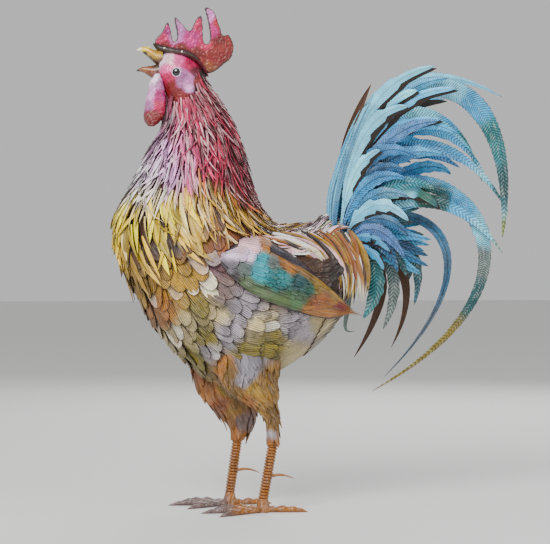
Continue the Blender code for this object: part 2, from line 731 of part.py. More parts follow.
def main():
    """Clears the scene and builds the statue."""
    for old in list(bpy.data.objects):
        bpy.data.objects.remove(old)
    statue = bpy.data.collections.new("rooster")
    cutters = bpy.data.collections.new("cutters")
    for collection in (statue, cutters):
        bpy.context.scene.collection.children.link(collection)
    skin_blank = build_body(statue, cutters)
    plumage_blank = build_plumage_blank(cutters)
    build_plumage(statue)
    build_head(skin_blank, statue)
    build_legs((skin_blank, plumage_blank), statue, cutters)
    build_wings(statue)
    build_tail_fan(skin_blank, statue)
    for name, spec in TAIL_FEATHERS.items():
        build_tail_feather(name, spec, skin_blank, statue)


main()
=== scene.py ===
"""Looks for a crowing rooster of painted sheet steel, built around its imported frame.

Metres, +Z up. The bird faces -X. Free forms are drawn on the maker's grid of squares, with X
counted from the origin and Z counted above the ground, as in the part's own source.
"""
import logging
import math
import random
from dataclasses import dataclass, field, replace
from enum import Enum
from typing import Any, Callable, Sequence

import bmesh
import bpy
import numpy as np
from mathutils import Matrix, Vector


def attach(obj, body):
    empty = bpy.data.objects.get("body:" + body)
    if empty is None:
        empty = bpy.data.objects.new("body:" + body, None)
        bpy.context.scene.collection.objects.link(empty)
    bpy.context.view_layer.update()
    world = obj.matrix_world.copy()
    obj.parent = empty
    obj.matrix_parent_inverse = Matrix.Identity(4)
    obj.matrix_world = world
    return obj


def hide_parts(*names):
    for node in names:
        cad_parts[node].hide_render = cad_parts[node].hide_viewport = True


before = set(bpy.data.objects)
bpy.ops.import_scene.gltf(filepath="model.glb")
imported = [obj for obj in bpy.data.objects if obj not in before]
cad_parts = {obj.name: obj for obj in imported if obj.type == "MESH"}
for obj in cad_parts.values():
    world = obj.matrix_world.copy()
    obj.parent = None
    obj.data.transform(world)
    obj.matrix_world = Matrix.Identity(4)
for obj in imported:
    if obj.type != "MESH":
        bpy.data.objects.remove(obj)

LOG = logging.getLogger("rooster")
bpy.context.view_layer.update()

HEIGHT = 0.750
GRID_SQUARES = 500
GRID = HEIGHT / GRID_SQUARES
SHEET = 0.0009
# Edges turned by more than this stay sharp when a piece is shaded
SHARP_DEGREES = 50
ROOT_BODY = "root"

# Soft light pales the enamels, so they are mixed stronger: how much further apart a colour's
# channels are set, how fast it darkens with that, and how dark a channel may get
PIGMENT = 1.3
PIGMENT_SHADE = 0.22
DARKEST = 0.004

# The camera looks from a little ahead of the bird's left side, so near things stand further
# back along the bird in its view by this share of their distance from the middle plane
VIEW_AZIMUTH = -8.0
SIDE_SHIFT = 0.14


class Seed(Enum):
    """Where each part's chance starts, so that every run is the same."""

    HACKLE = 11
    BREAST = 23
    SADDLE = 37
    RUMP = 41
    VENT = 43
    SICKLES = 53
    LADDER = 59
    WING = 61
    THIGH = 67

    def start(self) -> random.Random:
        """A source of chance."""
        return random.Random(self.value)


class Tint(Enum):
    """The enamels on the bench, as sRGB hex values."""

    CRIMSON = "a81c42"
    WINE = "7c1433"
    ROSE = "cc4468"
    PINK = "ea8eb0"
    SHELL = "f2ccd2"
    LILAC = "e6b4de"
    PALE_LILAC = "f4dcf4"
    MAUVE = "96707f"
    SCARLET = "b02a30"
    CREAM = "f3e9cf"
    LEMON = "e6c400"
    YELLOW = "dcae00"
    GOLD = "c49408"
    OCHRE = "a88024"
    SIENNA = "9c5c34"
    RUST = "84452a"
    BROWN = "5c3c28"
    UMBER = "33231d"
    STEEL = "453831"
    STONE = "b8aa88"
    BONE = "d8d2c2"
    DOVE = "a79fa6"
    OLIVE = "8a7d42"
    MOSS = "8b9a3c"
    FERN = "567454"
    TURQUOISE = "4fb0bd"
    TEAL = "2f8a8e"
    DEEP_TEAL = "2a6467"
    ICE = "aae8ff"
    SKY = "84c2ec"
    AZURE = "6c9ccc"
    PERIWINKLE = "7890c0"
    SLATE = "4f7094"
    SMOKE = "7c8a86"
    BLACK = "101014"
    TAUPE = "84716e"
    ASH = "8f8a92"
    TAN = "94703c"
    COPPER = "a8744c"
    DUSK = "453840"
    BRICK = "96502e"
    CHESTNUT = "a86c30"
    MAGENTA = "bc5484"
    ORCHID = "c48ab4"
    OXIDE = "8c1814"
    PINE = "2f6a5a"
    GRASS = "5a6c48"
    WHITE = "f4f1ee"


def linear(code: str) -> np.ndarray:
    """Turns an sRGB hex value into linear light.

    Args:
        code: six hex digits.

    Returns:
        Red, green and blue from 0 to 1.
    """
    parts = np.array([int(code[i : i + 2], 16) / 255 for i in (0, 2, 4)])
    return np.where(parts <= 0.04045, parts / 12.92, ((parts + 0.055) / 1.055) ** 2.4)


def rgba(tint: Tint) -> tuple[float, float, float, float]:
    """A tint as a shader colour."""
    return (*linear(tint.value), 1.0)


def add_node(tree: bpy.types.NodeTree, kind: str,
             values: dict[str | int, Any] | None = None) -> bpy.types.Node:
    """Adds a shader node.

    Args:
        tree: the material's node tree.
        kind: the node's type name after ShaderNode.
        values: for its properties, or else for its inputs. A socket is joined to its input.

    Returns:
        The node.
    """
    node = tree.nodes.new(f"ShaderNode{kind}")
    for key, value in (values or {}).items():
        if isinstance(value, bpy.types.NodeSocket):
            tree.links.new(value, node.inputs[key])
        elif isinstance(key, str) and hasattr(node, key):
            setattr(node, key, value)
        else:
            node.inputs[key].default_value = value
    return node


def ramp(value: Any, start: float, end: float, low: float = 0.0, high: float = 1.0) -> Any:
    """Spreads a socket's value from between two bounds to between two others."""
    bounds = {"From Min": start, "From Max": end, "To Min": low, "To Max": high, "Value": value}
    return add_node(value.id_data, "MapRange", bounds).outputs[0]


def noise(vector: Any, scale: float, detail: float) -> Any:
    """The socket of a noise from 0 to 1."""
    values = {"Scale": scale, "Detail": detail, "Vector": vector}
    return add_node(vector.id_data, "TexNoise", values).outputs["Fac"]


def new_material(name: str) -> tuple[bpy.types.Material, bpy.types.Node]:
    """Adds a material.

    Args:
        name: what it is called.

    Returns:
        The material, and its shader.
    """
    material = bpy.data.materials.new(name)
    material.use_nodes = True
    return material, material.node_tree.nodes["Principled BSDF"]


class Relief(Enum):
    """How a sheet was worked before it was painted."""

    BARBS = "chased slantwise from the quill"
    RAYS = "chased with rays that run to the rim"
    STREAKS = "scratched with fine lines along the sheet"
    HAMMERED = "hammered all over"


@dataclass(frozen=True)
class Enamel:
    """Hand-brushed enamel on mild steel sheet.

    It gives a satin colour that varies with the brush, darker in the chased lines, where that is
    partly paint run thick and partly painted shade, with dark specks, and bare brown steel on the
    backs and along worn edges. Its pitch and depth are the relief's in metres, and the shares below
    them are of a full effect.
    """

    name: str
    relief: Relief = Relief.STREAKS
    pitch: float = 0.0034
    depth: float = 0.0008
    roughness: float = 0.38
    metallic: float = 0.15
    coat: float = 0.2
    blotch: float = 0.25
    streak: float = 0.12
    groove: float = 0.5
    speck: float = 0.25
    wear: float = 0.5
    rib: float = 0.0

    BLOTCH_SIZE = 0.018
    # A brush leaves finer lines, drawn coarser here so that they show
    BRISTLE_PITCH = 0.0014
    GRAIN_SIZE = 0.0028
    # Lines along the sheet are this many to the metre along it
    STREAK_RATE = 45.0
    BRISTLE_RATE = 50.0
    # What is left of a tone in its dark paint: where it has run thick, and in the chased lines, where it is
    # also painted shade
    DEEP_SHARE = 0.22

    def pattern(self, tree: bpy.types.NodeTree, place: Any, lay: Any) -> Any:
        """Draws the relief.

        Args:
            tree: the material's node tree.
            place: object coordinates, in metres.
            lay: the place along and across the sheet, in metres.

        Returns:
            The socket of a height from 0 to 1.
        """
        if self.relief is Relief.HAMMERED:
            dents = {"feature": "SMOOTH_F1", "Scale": 1 / self.pitch, "Vector": place}
            return add_node(tree, "TexVoronoi", dents).outputs["Distance"]
        if self.relief is Relief.STREAKS:
            return ramp(self.lines(tree, lay, self.STREAK_RATE, self.pitch, 2.0), 0.3, 0.7)
        run, across = add_node(tree, "SeparateXYZ", {0: lay}).outputs[:2]
        if self.relief is Relief.BARBS:
            away = add_node(tree, "Math", {"operation": "ABSOLUTE", 0: across}).outputs[0]
            run = add_node(tree, "Math", {"operation": "SUBTRACT", 0: run, 1: away}).outputs[0]
        else:
            run = across
        turns = add_node(tree, "Math", {"operation": "MULTIPLY", 0: run, 1: math.tau / self.pitch})
        wave = add_node(tree, "Math", {"operation": "SINE", 0: turns.outputs[0]})
        return ramp(wave.outputs[0], -1.0, 1.0)

    @staticmethod
    def lines(tree: bpy.types.NodeTree, lay: Any, rate: float, pitch: float, detail: float) -> Any:
        """The socket of fine uneven lines along the sheet, at a pitch across it."""
        stretched = add_node(tree, "Mapping", {"Scale": (rate, 1 / pitch, 1.0), "Vector": lay})
        return noise(stretched.outputs[0], 1.0, detail)

    def make(self) -> bpy.types.Material:
        """Builds the material.

        Returns:
            The material.
        """
        material, shader = new_material(self.name)
        tree = material.node_tree
        place = add_node(tree, "TexCoord").outputs["Object"]
        paint = add_node(tree, "Attribute", {"attribute_name": "enamel"}).outputs["Color"]
        edge = add_node(tree, "Attribute", {"attribute_name": "edge"}).outputs["Fac"]
        lay = add_node(tree, "Attribute", {"attribute_name": "lay"}).outputs["Vector"]
        height = self.pattern(tree, place, lay)

        def blend(amount: Any, first: Any, second: Any) -> Any:
            """Mixes two colours by an amount from 0 to 1, each a socket or a constant."""
            return add_node(tree, "Mix", {"data_type": "RGBA", 0: amount, 6: first, 7: second}).outputs[2]

        def scaled(colour: Any, share: Any) -> Any:
            """A share of a colour."""
            return add_node(tree, "VectorMath", {"operation": "SCALE", 0: colour, "Scale": share}).outputs[0]

        broad = noise(place, 1 / self.BLOTCH_SIZE, 4.0)
        tone = scaled(paint, ramp(broad, 0.3, 0.7, 1 - self.blotch, 1 + self.blotch))
        deep = scaled(tone, self.DEEP_SHARE)
        bristles = self.lines(tree, lay, self.BRISTLE_RATE, self.BRISTLE_PITCH, 3.0)
        colour = blend(ramp(bristles, 0.5, 0.75, 0.0, self.streak), tone, rgba(Tint.WHITE))
        # Darker along the relief's low lines: partly paint run thick there, partly painted shade in the
        # grooves
        colour = blend(ramp(height, 0.42, 0.08, 0.0, self.groove), colour, deep)
        grains = noise(place, 1 / self.GRAIN_SIZE, 3.0)
        colour = blend(ramp(grains, 0.56, 0.66, 0.0, self.speck), colour, deep)
        if self.rib:
            across = add_node(tree, "SeparateXYZ", {0: lay}).outputs[1]
            away = add_node(tree, "Math", {"operation": "ABSOLUTE", 0: across}).outputs[0]
            colour = blend(ramp(away, 0.0011, 0.0005, 0.0, self.rib), colour, deep)
        ragged = add_node(tree, "Math", {"operation": "MULTIPLY_ADD", 0: grains, 1: 0.5, 2: edge}).outputs[0]
        worn = ramp(ragged, 1.25 - 0.5 * self.wear, 1.36 - 0.5 * self.wear)
        colour = blend(worn, colour, blend(0.45, deep, rgba(Tint.STEEL)))
        bump = add_node(tree, "Bump", {"Strength": 0.9, "Distance": self.depth, "Height": height}).outputs[0]
        skin = add_node(tree, "Bump", {"Strength": 0.3, "Distance": 0.0005, "Height": grains, "Normal": bump})
        rough = ramp(grains, 0.0, 1.0, self.roughness - 0.1, self.roughness + 0.2)
        for socket, key in ((colour, "Base Color"), (rough, "Roughness"), (skin.outputs[0], "Normal")):
            tree.links.new(socket, shader.inputs[key])
        shader.inputs["Metallic"].default_value = self.metallic
        shader.inputs["Coat Weight"].default_value = self.coat
        shader.inputs["Coat Roughness"].default_value = 0.25
        return material


@dataclass(frozen=True)
class Gloss:
    """Plain enamel flowed on thick, such as on an eye: a wet, even shine."""

    name: str
    tint: Tint
    roughness: float = 0.12

    def make(self) -> bpy.types.Material:
        """Builds the material.

        Returns:
            The material.
        """
        material, shader = new_material(self.name)
        shader.inputs["Base Color"].default_value = rgba(self.tint)
        shader.inputs["Roughness"].default_value = self.roughness
        shader.inputs["Coat Weight"].default_value = 0.6
        return material


@dataclass(frozen=True)
class Spray:
    """One pass of the spray gun: its middle on the bird's side, its reach, and its tint."""

    x: float
    z: float
    reach: float
    tint: Tint


def sprays(**groups: Sequence[tuple[float, float, float]]) -> tuple[Spray, ...]:
    """The passes of each tint by its name, given by their middles and reaches."""
    return tuple(Spray(*spot, Tint[name]) for name, spots in groups.items() for spot in spots)


# A pass is even over about this share of its reach squared, and fades out from there
SPRAY_CORE = 0.02


def sprayed(passes: Sequence[Spray], points: np.ndarray) -> np.ndarray:
    """The colours that the passes leave on points of the bird.

    Args:
        passes: the passes, in squares on the bird's side as the camera sees it.
        points: places in metres, one row each.

    Returns:
        Linear colours, one row each.
    """
    x = points[:, 0] / GRID + SIDE_SHIFT * np.abs(points[:, 1]) / GRID
    z = points[:, 2] / GRID
    total = np.zeros((len(points), 3))
    weights = np.full(len(points), 1e-12)
    for spray in passes:
        away = ((x - spray.x) ** 2 + (z - spray.z) ** 2) / spray.reach**2
        weight = 1 / (SPRAY_CORE + away) ** 3
        total += weight[:, None] * linear(spray.tint.value)
        weights += weight
    return total / weights[:, None]


def plain(tint: Tint, points: np.ndarray, strength: float = 1.0) -> np.ndarray:
    """One tint, made lighter or darker, on all points."""
    return np.tile(linear(tint.value) * strength, (len(points), 1))


# Along the body's curved axis from the collar to the rump, as the part's source has it: the
# axis point (x, z), the way the breast side faces in degrees below straight ahead, the reach to
# the breast side, the reach to the back, and the half width
BODY_STATIONS = (
    (-125.5, 405, 39, 25, 26, 22),
    (-122, 388, 26, 28, 32, 30),
    (-119, 361, 12, 42, 43, 38),
    (-117, 331, 10, 58, 49, 48),
    (-113, 301, 17, 83, 52, 58),
    (-99, 270, 38, 91, 52, 65),
    (-77, 246, 58, 104, 50, 70),
    (-49, 232, 74, 112, 47, 71),
    (-19, 228, 88, 85, 48, 66),
    (5, 233, 96, 60, 46, 55),
    (24, 243, 92, 52, 46, 42),
    (40, 252, 86, 32, 29, 28),
    (46, 255, 86, 12, 12, 12),
)


def on_spline(rows: Sequence[Sequence[float]], places: np.ndarray) -> np.ndarray:
    """Rows between the rows, on a Catmull-Rom curve through them.

    Args:
        rows: the rows that the curve goes through.
        places: where to read it, in rows.

    Returns:
        One row for each place.
    """
    table = np.array(rows, float)
    last = len(table) - 1
    places = np.clip(places, 0, last)
    i = np.minimum(places.astype(int), last - 1)
    f = (places - i)[:, None]
    a, b, c, d = (table[np.clip(i + k, 0, last)] for k in (-1, 0, 1, 2))
    bend, twist = 2 * a - 5 * b + 4 * c - d, 3 * b - a - 3 * c + d
    return 0.5 * (2 * b + (c - a) * f + bend * f**2 + twist * f**3)


def unit(vectors: np.ndarray) -> np.ndarray:
    """Vectors brought to a length of 1."""
    return vectors / np.maximum(np.linalg.norm(vectors, axis=-1, keepdims=True), 1e-12)


NECK_STATION = (-127.5, 426, 39, 23.5, 21, 19.5)


def body_line(turn: float, stations: Sequence[Sequence[float]] = BODY_STATIONS) -> np.ndarray:
    """Points down the skin at a turn from the breast line, 90 being the left side.

    Args:
        turn: the turn in degrees.
        stations: the stations that the skin goes through.

    Returns:
        The points in metres.
    """
    rows = on_spline(stations, np.arange(0, len(stations) - 1 + 1e-6, 0.02))
    x, z, facing, breast, back, half_width = rows.T
    radians, facing = math.radians(turn), np.radians(facing)
    reach = math.cos(radians) * (breast if math.cos(radians) > 0 else back)
    aside = -half_width * math.sin(radians)
    return np.stack([x - np.cos(facing) * reach, aside, z - np.sin(facing) * reach], 1) * GRID


class Skin:
    """A form's skin. A place on it is a turn round the form and a distance down it."""

    TURN_STEP = 3
    WALK_STEP = 0.002

    def __init__(self, line: Callable[[float], np.ndarray], longest: float) -> None:
        """Samples the skin down lines at even turns.

        Args:
            line: gives the points down the skin at a turn in degrees.
            longest: how far to measure, running straight on past a line's end.
        """
        distances = np.arange(0, longest, self.WALK_STEP)
        turns = range(0, 360, self.TURN_STEP)
        self.points = np.array([self.measured(line(turn), distances) for turn in turns])
        self.along = unit(np.gradient(self.points, axis=1))
        around = (np.roll(self.points, -1, 0) - np.roll(self.points, 1, 0)) / (2 * self.TURN_STEP)
        self.rate = np.maximum(np.linalg.norm(around, axis=2), 0.0002)
        self.normal = unit(np.cross(self.along, around))

    @staticmethod
    def measured(points: np.ndarray, distances: np.ndarray) -> np.ndarray:
        """A line's points, measured off in even steps.

        Args:
            points: the line.
            distances: how far down the line each wanted point lies.

        Returns:
            The wanted points.
        """
        steps = np.linalg.norm(np.diff(points, axis=0), axis=1)
        walked = np.concatenate([[0], np.cumsum(steps)])
        line = np.stack([np.interp(distances, walked, points[:, k]) for k in range(3)], 1)
        over = np.maximum(distances - walked[-1], 0)
        return line + unit(points[-1] - points[-20]) * over[:, None]

    def sample(self, degrees: np.ndarray, distances: np.ndarray) -> tuple[np.ndarray, ...]:
        """Reads the skin.

        Args:
            degrees: turns from the breast line.
            distances: distances from the collar.

        Returns:
            Points, ways along, normals, and metres of skin for a degree of turn.
        """
        turn = np.mod(degrees, 360) / self.TURN_STEP
        walk = np.clip(distances / self.WALK_STEP, 0, self.points.shape[1] - 1.001)
        i, j = np.floor(turn).astype(int) % self.points.shape[0], np.floor(walk).astype(int)
        f, g = (turn - np.floor(turn)), (walk - j)
        k = (i + 1) % self.points.shape[0]

        def read(table: np.ndarray) -> np.ndarray:
            """Reads a table between its four nearest entries.

            Args:
                table: what it holds at each turn and distance.

            Returns:
                A value or a vector for each place.
            """
            a, b = (f, g) if table.ndim == 2 else (f[:, None], g[:, None])
            near = table[i, j] * (1 - b) + table[i, j + 1] * b
            far = table[k, j] * (1 - b) + table[k, j + 1] * b
            return near * (1 - a) + far * a

        return read(self.points), unit(read(self.along)), unit(read(self.normal)), read(self.rate)

    def row(self, starts: tuple[float, float], arc: tuple[float, float], pitch: float,
            stagger: float) -> np.ndarray:
        """Places spaced evenly along a row that runs round the body.

        Args:
            starts: the row's distance from the collar on the breast line and on the back.
            arc: the turns that it runs between.
            pitch: the spacing in metres.
            stagger: where the first one stands, as a share of the pitch.

        Returns:
            A turn and a distance for each place.
        """
        degrees = np.arange(arc[0], arc[1] + 0.5, 1.0)
        distances = starts[0] + (starts[1] - starts[0]) * (1 - np.cos(np.radians(degrees))) / 2
        points = self.sample(degrees, distances)[0]
        walked = np.concatenate([[0], np.cumsum(np.linalg.norm(np.diff(points, axis=0), axis=1))])
        wanted = np.arange(pitch * stagger, walked[-1], pitch)
        return np.stack([np.interp(wanted, walked, degrees), np.interp(wanted, walked, distances)], 1)


def pick(*chosen: bpy.types.Object) -> None:
    """Selects some objects alone, in object mode, with the first of them active.

    Args:
        chosen: the objects.
    """
    if bpy.context.mode != "OBJECT":
        bpy.ops.object.mode_set(mode="OBJECT")
    bpy.ops.object.select_all(action="DESELECT")
    for made in chosen:
        made.select_set(True)
    if chosen:
        bpy.context.view_layer.objects.active = chosen[0]


def add_primitive(name: str, operator: Callable[..., Any], **settings: Any) -> bpy.types.Object:
    """Adds a primitive, with its place and turn taken into its mesh.

    Args:
        name: the object's name.
        operator: the primitive's operator.
        settings: its sizes and its place.

    Returns:
        The object.
    """
    pick()
    operator(**settings)
    made = bpy.context.object
    bpy.ops.object.transform_apply(location=True, rotation=True, scale=True)
    made.name = name
    return made


def add_object(name: str, points: np.ndarray, faces: Sequence[Sequence[int]]) -> bpy.types.Object:
    """Adds an object with a mesh worked out by the script.

    Args:
        name: its name, and its mesh's.
        points: its points in metres.
        faces: the points of each face.

    Returns:
        The object.
    """
    mesh = bpy.data.meshes.new(name)
    mesh.from_pydata(points.tolist(), [], faces)
    made = bpy.data.objects.new(name, mesh)
    bpy.context.scene.collection.objects.link(made)
    return made


def edit_mesh(made: bpy.types.Object) -> None:
    """Opens an object's mesh in edit mode, alone, to be selected by its points.

    Args:
        made: the object.
    """
    pick(made)
    bpy.ops.object.mode_set(mode="EDIT")
    bpy.context.tool_settings.mesh_select_mode = (True, False, False)


def close_mesh() -> None:
    """Turns all faces of the mesh in edit mode outwards, and leaves it."""
    bpy.ops.mesh.select_all(action="SELECT")
    bpy.ops.mesh.normals_make_consistent(inside=False)
    bpy.ops.object.mode_set(mode="OBJECT")


def apply_modifier(made: bpy.types.Object, kind: str, **settings: Any) -> None:
    """Adds a modifier with its settings and applies it.

    Args:
        made: the object to finish.
        kind: the modifier's type name.
        settings: values for the modifier's properties.
    """
    pick(made)
    modifier = made.modifiers.new(kind.lower(), kind)
    for key, value in settings.items():
        setattr(modifier, key, value)
    bpy.ops.object.modifier_apply(modifier=modifier.name)


@dataclass
class Blank:
    """A piece of sheet cut flat, before it is bent and laid.

    Its points run 0 to 1 along and -1 to 1 across, with the height in metres.
    """

    points: np.ndarray
    faces: np.ndarray
    edge: np.ndarray


@dataclass
class BlankCutter:
    """Cuts a blank from a plain grid: each row is drawn in to the outline, the columns are crowded
    to the rim, the rim is slit, and the sheet gets its gauge."""

    rows: int
    columns: int
    outline: Callable[[float], float]
    tip_crowding: float = 1.0
    teeth: int = 0
    tooth_depth: float = 0.45
    ray_height: float = 0.0
    gauge: float = SHEET

    # The shares of the length between which the rim is slit
    SLIT_FROM, SLIT_TO = 0.12, 0.97
    NARROWEST = 0.03
    # How strongly the columns crowd to the rim
    CROWDING = 0.45

    def tooth(self, share: float) -> float:
        """Finds how much of the rim a slit leaves.

        Args:
            share: the place along the sheet, from 0 to 1.

        Returns:
            A share of the width.
        """
        if not self.teeth or not self.SLIT_FROM < share < self.SLIT_TO:
            return 1.0
        return 1 - self.tooth_depth * (1 - share * self.teeth % 1)

    def cut(self) -> Blank:
        """Models the blank with the edit tools.

        Returns:
            The blank's arrays.
        """
        made = add_primitive("blank", bpy.ops.mesh.primitive_grid_add, x_subdivisions=self.columns,
                             y_subdivisions=self.rows, size=2)
        flat = np.array([v.co for v in made.data.vertices])
        edit_mesh(made)
        for row in range(self.rows + 1):
            here = row / self.rows * 2 - 1
            share = 1 - (1 - row / self.rows) ** self.tip_crowding
            bpy.ops.mesh.select_all(action="DESELECT")
            mesh = bmesh.from_edit_mesh(made.data)
            for vertex in mesh.verts:
                vertex.select = abs(flat[vertex.index, 1] - here) < 1e-4
            bmesh.update_edit_mesh(made.data)
            width = max(self.NARROWEST, self.outline(share))
            bpy.ops.transform.resize(value=(width, 1, 1), center_override=(0, here, 0))
            bpy.ops.transform.translate(value=(0, share * 2 - 1 - here, 0))
        bpy.ops.object.mode_set(mode="OBJECT")
        for vertex in made.data.vertices:
            across = abs(flat[vertex.index, 0])
            share = (vertex.co.y + 1) / 2
            vertex.co.x *= across**-self.CROWDING if across > 0.01 else 1.0
            vertex.co.x *= 1 - (1 - self.tooth(share)) * across**0.5
            column = round((flat[vertex.index, 0] + 1) / 2 * self.columns)
            vertex.co.z = self.ray_height * (column % 2) * min(1.0, share * 2.5)
        top = len(made.data.vertices)
        apply_modifier(made, "SOLIDIFY", thickness=self.gauge, offset=-1)
        shaped = np.array([v.co for v in made.data.vertices])
        points = np.stack([(shaped[:, 1] + 1) / 2, shaped[:, 0], shaped[:, 2]], 1)
        faces = np.array([list(p.vertices) for p in made.data.polygons])
        edge = np.ones(len(points))
        last = 1 - 2 / self.rows
        rim = np.maximum(np.abs(flat[:, 0]), np.clip((flat[:, 1] - last) / (1 - last), 0, 1))
        edge[:top] = 0.95 * np.clip((rim - 0.8) / 0.2, 0, 1)
        bpy.data.objects.remove(made)
        return Blank(points, faces, edge)


@dataclass
class Pieces:
    """A mesh gathered from many laid blanks, each with its own vertices."""

    parts: list[tuple[np.ndarray, ...]] = field(default_factory=list)
    size: int = 0

    def add(self, placed: np.ndarray, faces: np.ndarray, colours: np.ndarray, edge: np.ndarray,
            lay: np.ndarray) -> None:
        """Adds one closed piece, turned so that it faces outwards.

        Args:
            placed: its points in metres.
            faces: its four-sided faces.
            colours: a linear colour for each point.
            edge: how near each point is to a worn edge or the back.
            lay: metres along and across the sheet, and a number of its own, for each point.
        """
        middle = placed.mean(0)
        a, b, c, d = (placed[faces[:, k]] - middle for k in range(4))
        volume = np.einsum("ij,ij->i", a, np.cross(b, c) + np.cross(c, d)).sum()
        turned = faces if volume > 0 else faces[:, ::-1]
        self.parts.append((placed, turned + self.size, colours, edge, lay))
        self.size += len(placed)

    def finish(self, name: str, enamel: Enamel, *nodes: str, like: str = "") -> bpy.types.Object:
        """Makes one object of the pieces.

        Args:
            name: what a maker would call it.
            enamel: its finish.
            nodes: the frame's nodes that it stands for.
            like: the node that it goes with, where it stands for none.

        Returns:
            The object, riding on the statue.
        """
        points, faces, *marks = (np.concatenate(arrays) for arrays in zip(*self.parts))
        made = add_object(name, points, faces.tolist())
        paint_points(made, *marks)
        return place(made, enamel, *nodes, like=like)


def deepened(colours: np.ndarray) -> np.ndarray:
    """Enamel mixed stronger and a little darker, with its hue kept, since soft light pales it.

    Args:
        colours: linear colours, one row each.

    Returns:
        The stronger colours.
    """
    most, least = colours.max(1, keepdims=True), colours.min(1, keepdims=True)
    gain = np.clip((most - 0.01) / np.maximum(most - least, 1e-6), 1, PIGMENT)
    return np.clip((most - (most - colours) * gain) * most**PIGMENT_SHADE, DARKEST, 1)


def paint_points(made: bpy.types.Object, colours: np.ndarray, edge: np.ndarray, lay: np.ndarray) -> None:
    """Writes the painter's marks on an object's points.

    Args:
        made: the object.
        colours: a linear colour for each point.
        edge: how near each point is to a worn edge.
        lay: metres along and across the sheet, and a number of its own, for each point.
    """
    mesh = made.data
    full = np.concatenate([deepened(colours), np.ones((len(colours), 1))], 1)
    for name, kind, key, values in (
        ("enamel", "FLOAT_COLOR", "color", full),
        ("edge", "FLOAT", "value", edge),
        ("lay", "FLOAT_VECTOR", "vector", lay),
    ):
        marks = mesh.attributes.new(name, kind, "POINT").data
        marks.foreach_set(key, values.astype(np.float32).ravel())


def place(made: bpy.types.Object, finish: Enamel | Gloss, *nodes: str, like: str = "") -> bpy.types.Object:
    """Gives a piece its finish, shades it, and sets it on the statue.

    Args:
        made: the object.
        finish: its finish.
        nodes: the frame's nodes that it stands for.
        like: not used.

    Returns:
        The object.
    """
    made.data.materials.clear()
    made.data.materials.append(bpy.data.materials.get(finish.name) or finish.make())
    made.data.shade_smooth()
    made.data.set_sharp_from_angle(angle=math.radians(SHARP_DEGREES))
    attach(made, ROOT_BODY)
    if nodes:
        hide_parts(*nodes)
    LOG.info("%s: %d faces", made.name, len(made.data.polygons))
    return made


def strip_outline(share: float) -> float:
    """A snipped strip: even, with a long point."""
    return min(1.0, 0.7 + share) * min(1.0, (1 - share) / 0.4) ** 0.7


def lancet_outline(share: float) -> float:
    """A willow leaf, widest at half its length."""
    if share < 0.45:
        return 0.45 + 0.55 * math.sin(math.pi * share / 0.9)
    return math.cos(math.pi / 2 * (share - 0.45) / 0.55) ** 0.85


def scale_outline(share: float) -> float:
    """A rounded breast feather."""
    if share < 0.55:
        return 0.88 + 0.12 * share / 0.55
    return math.sqrt(max(0.0, 1 - ((share - 0.55) / 0.45) ** 2))


def sickle_outline(share: float) -> float:
    """A tail feather, with its widest part a quarter of the way along and a long point."""
    return (0.42 + 0.58 * min(1.0, share / 0.25) ** 0.8) * min(1.0, (1 - share) / 0.45) ** 0.75


def leaf_outline(share: float) -> float:
    """A short feather: a bare quill, then a broad vane with a blunt point."""
    vane = min(1.0, max(0.0, (share - 0.12) / 0.3))
    return (0.14 + 0.86 * vane * vane * (3 - 2 * vane)) * min(1.0, (1 - share) / 0.3) ** 0.6


def great_outline(share: float) -> float:
    """The great sickle, broadest past its middle, with a short point."""
    return (0.42 + 0.58 * min(1.0, share / 0.5)) * min(1.0, (1 - share) / 0.3) ** 0.7


def quill_outline(share: float) -> float:
    """A wing quill: nearly even, with a blunt point."""
    return min(1.0, 0.6 + share) * min(1.0, (1 - share) / 0.12) ** 0.6


@dataclass
class Lift:
    """How a feather stands off what it is laid on, in metres."""

    root: float = 0.0015
    tip: float = 0.0070
    power: float = 1.25


def lay_on_skin(
    blank: Blank, skin: Skin, turn: float, walk: float, length: float, half: float,
    lift: Lift, swing: float = 0.0, bend: float = 0.0, roll: float = 0.0, crease: float = 0.15,
) -> tuple[np.ndarray, np.ndarray]:
    """Bends a blank over the body.

    Args:
        blank: the flat blank.
        skin: the body's skin.
        turn: where its root is, in degrees from the breast line.
        walk: how far from the collar its root is.
        length: its length.
        half: half its width.
        lift: how it stands off the skin.
        swing: how far it heads off the plumage's line, in radians.
        bend: how far its tip is bent aside.
        roll: how far it is rolled about its quill, in radians.
        crease: the height of its quill as a share of half its width.

    Returns:
        Its points, and their lay.
    """
    along, across, up = blank.points.T
    aside = length * along * math.sin(swing) + bend * along**2
    distance = walk + length * along * math.cos(swing)
    rate = float(skin.sample(np.array([turn]), np.array([walk + length / 2]))[3][0])
    point, ahead, normal, _ = skin.sample(turn + aside / rate, distance)
    beside = np.cross(normal, ahead)
    heading = unit(ahead * math.cos(swing) + beside * math.sin(swing))
    beside = np.cross(normal, heading)
    reach = across * half
    rise = lift.root + (lift.tip - lift.root) * along**lift.power
    # The skin's radius, from the metres of it to a degree of turn
    radius = max(0.02, rate * 57.3)
    drop = reach**2 / (2 * radius)
    rolled = reach * math.sin(roll) * np.minimum(1, along * 2)
    height = rise + up - drop + crease * half * (1 - np.abs(across)) + rolled
    placed = point + beside * (reach * math.cos(roll))[:, None] + normal * height[:, None]
    lay = np.stack([along * length, reach, np.zeros_like(along)], 1)
    return placed, lay


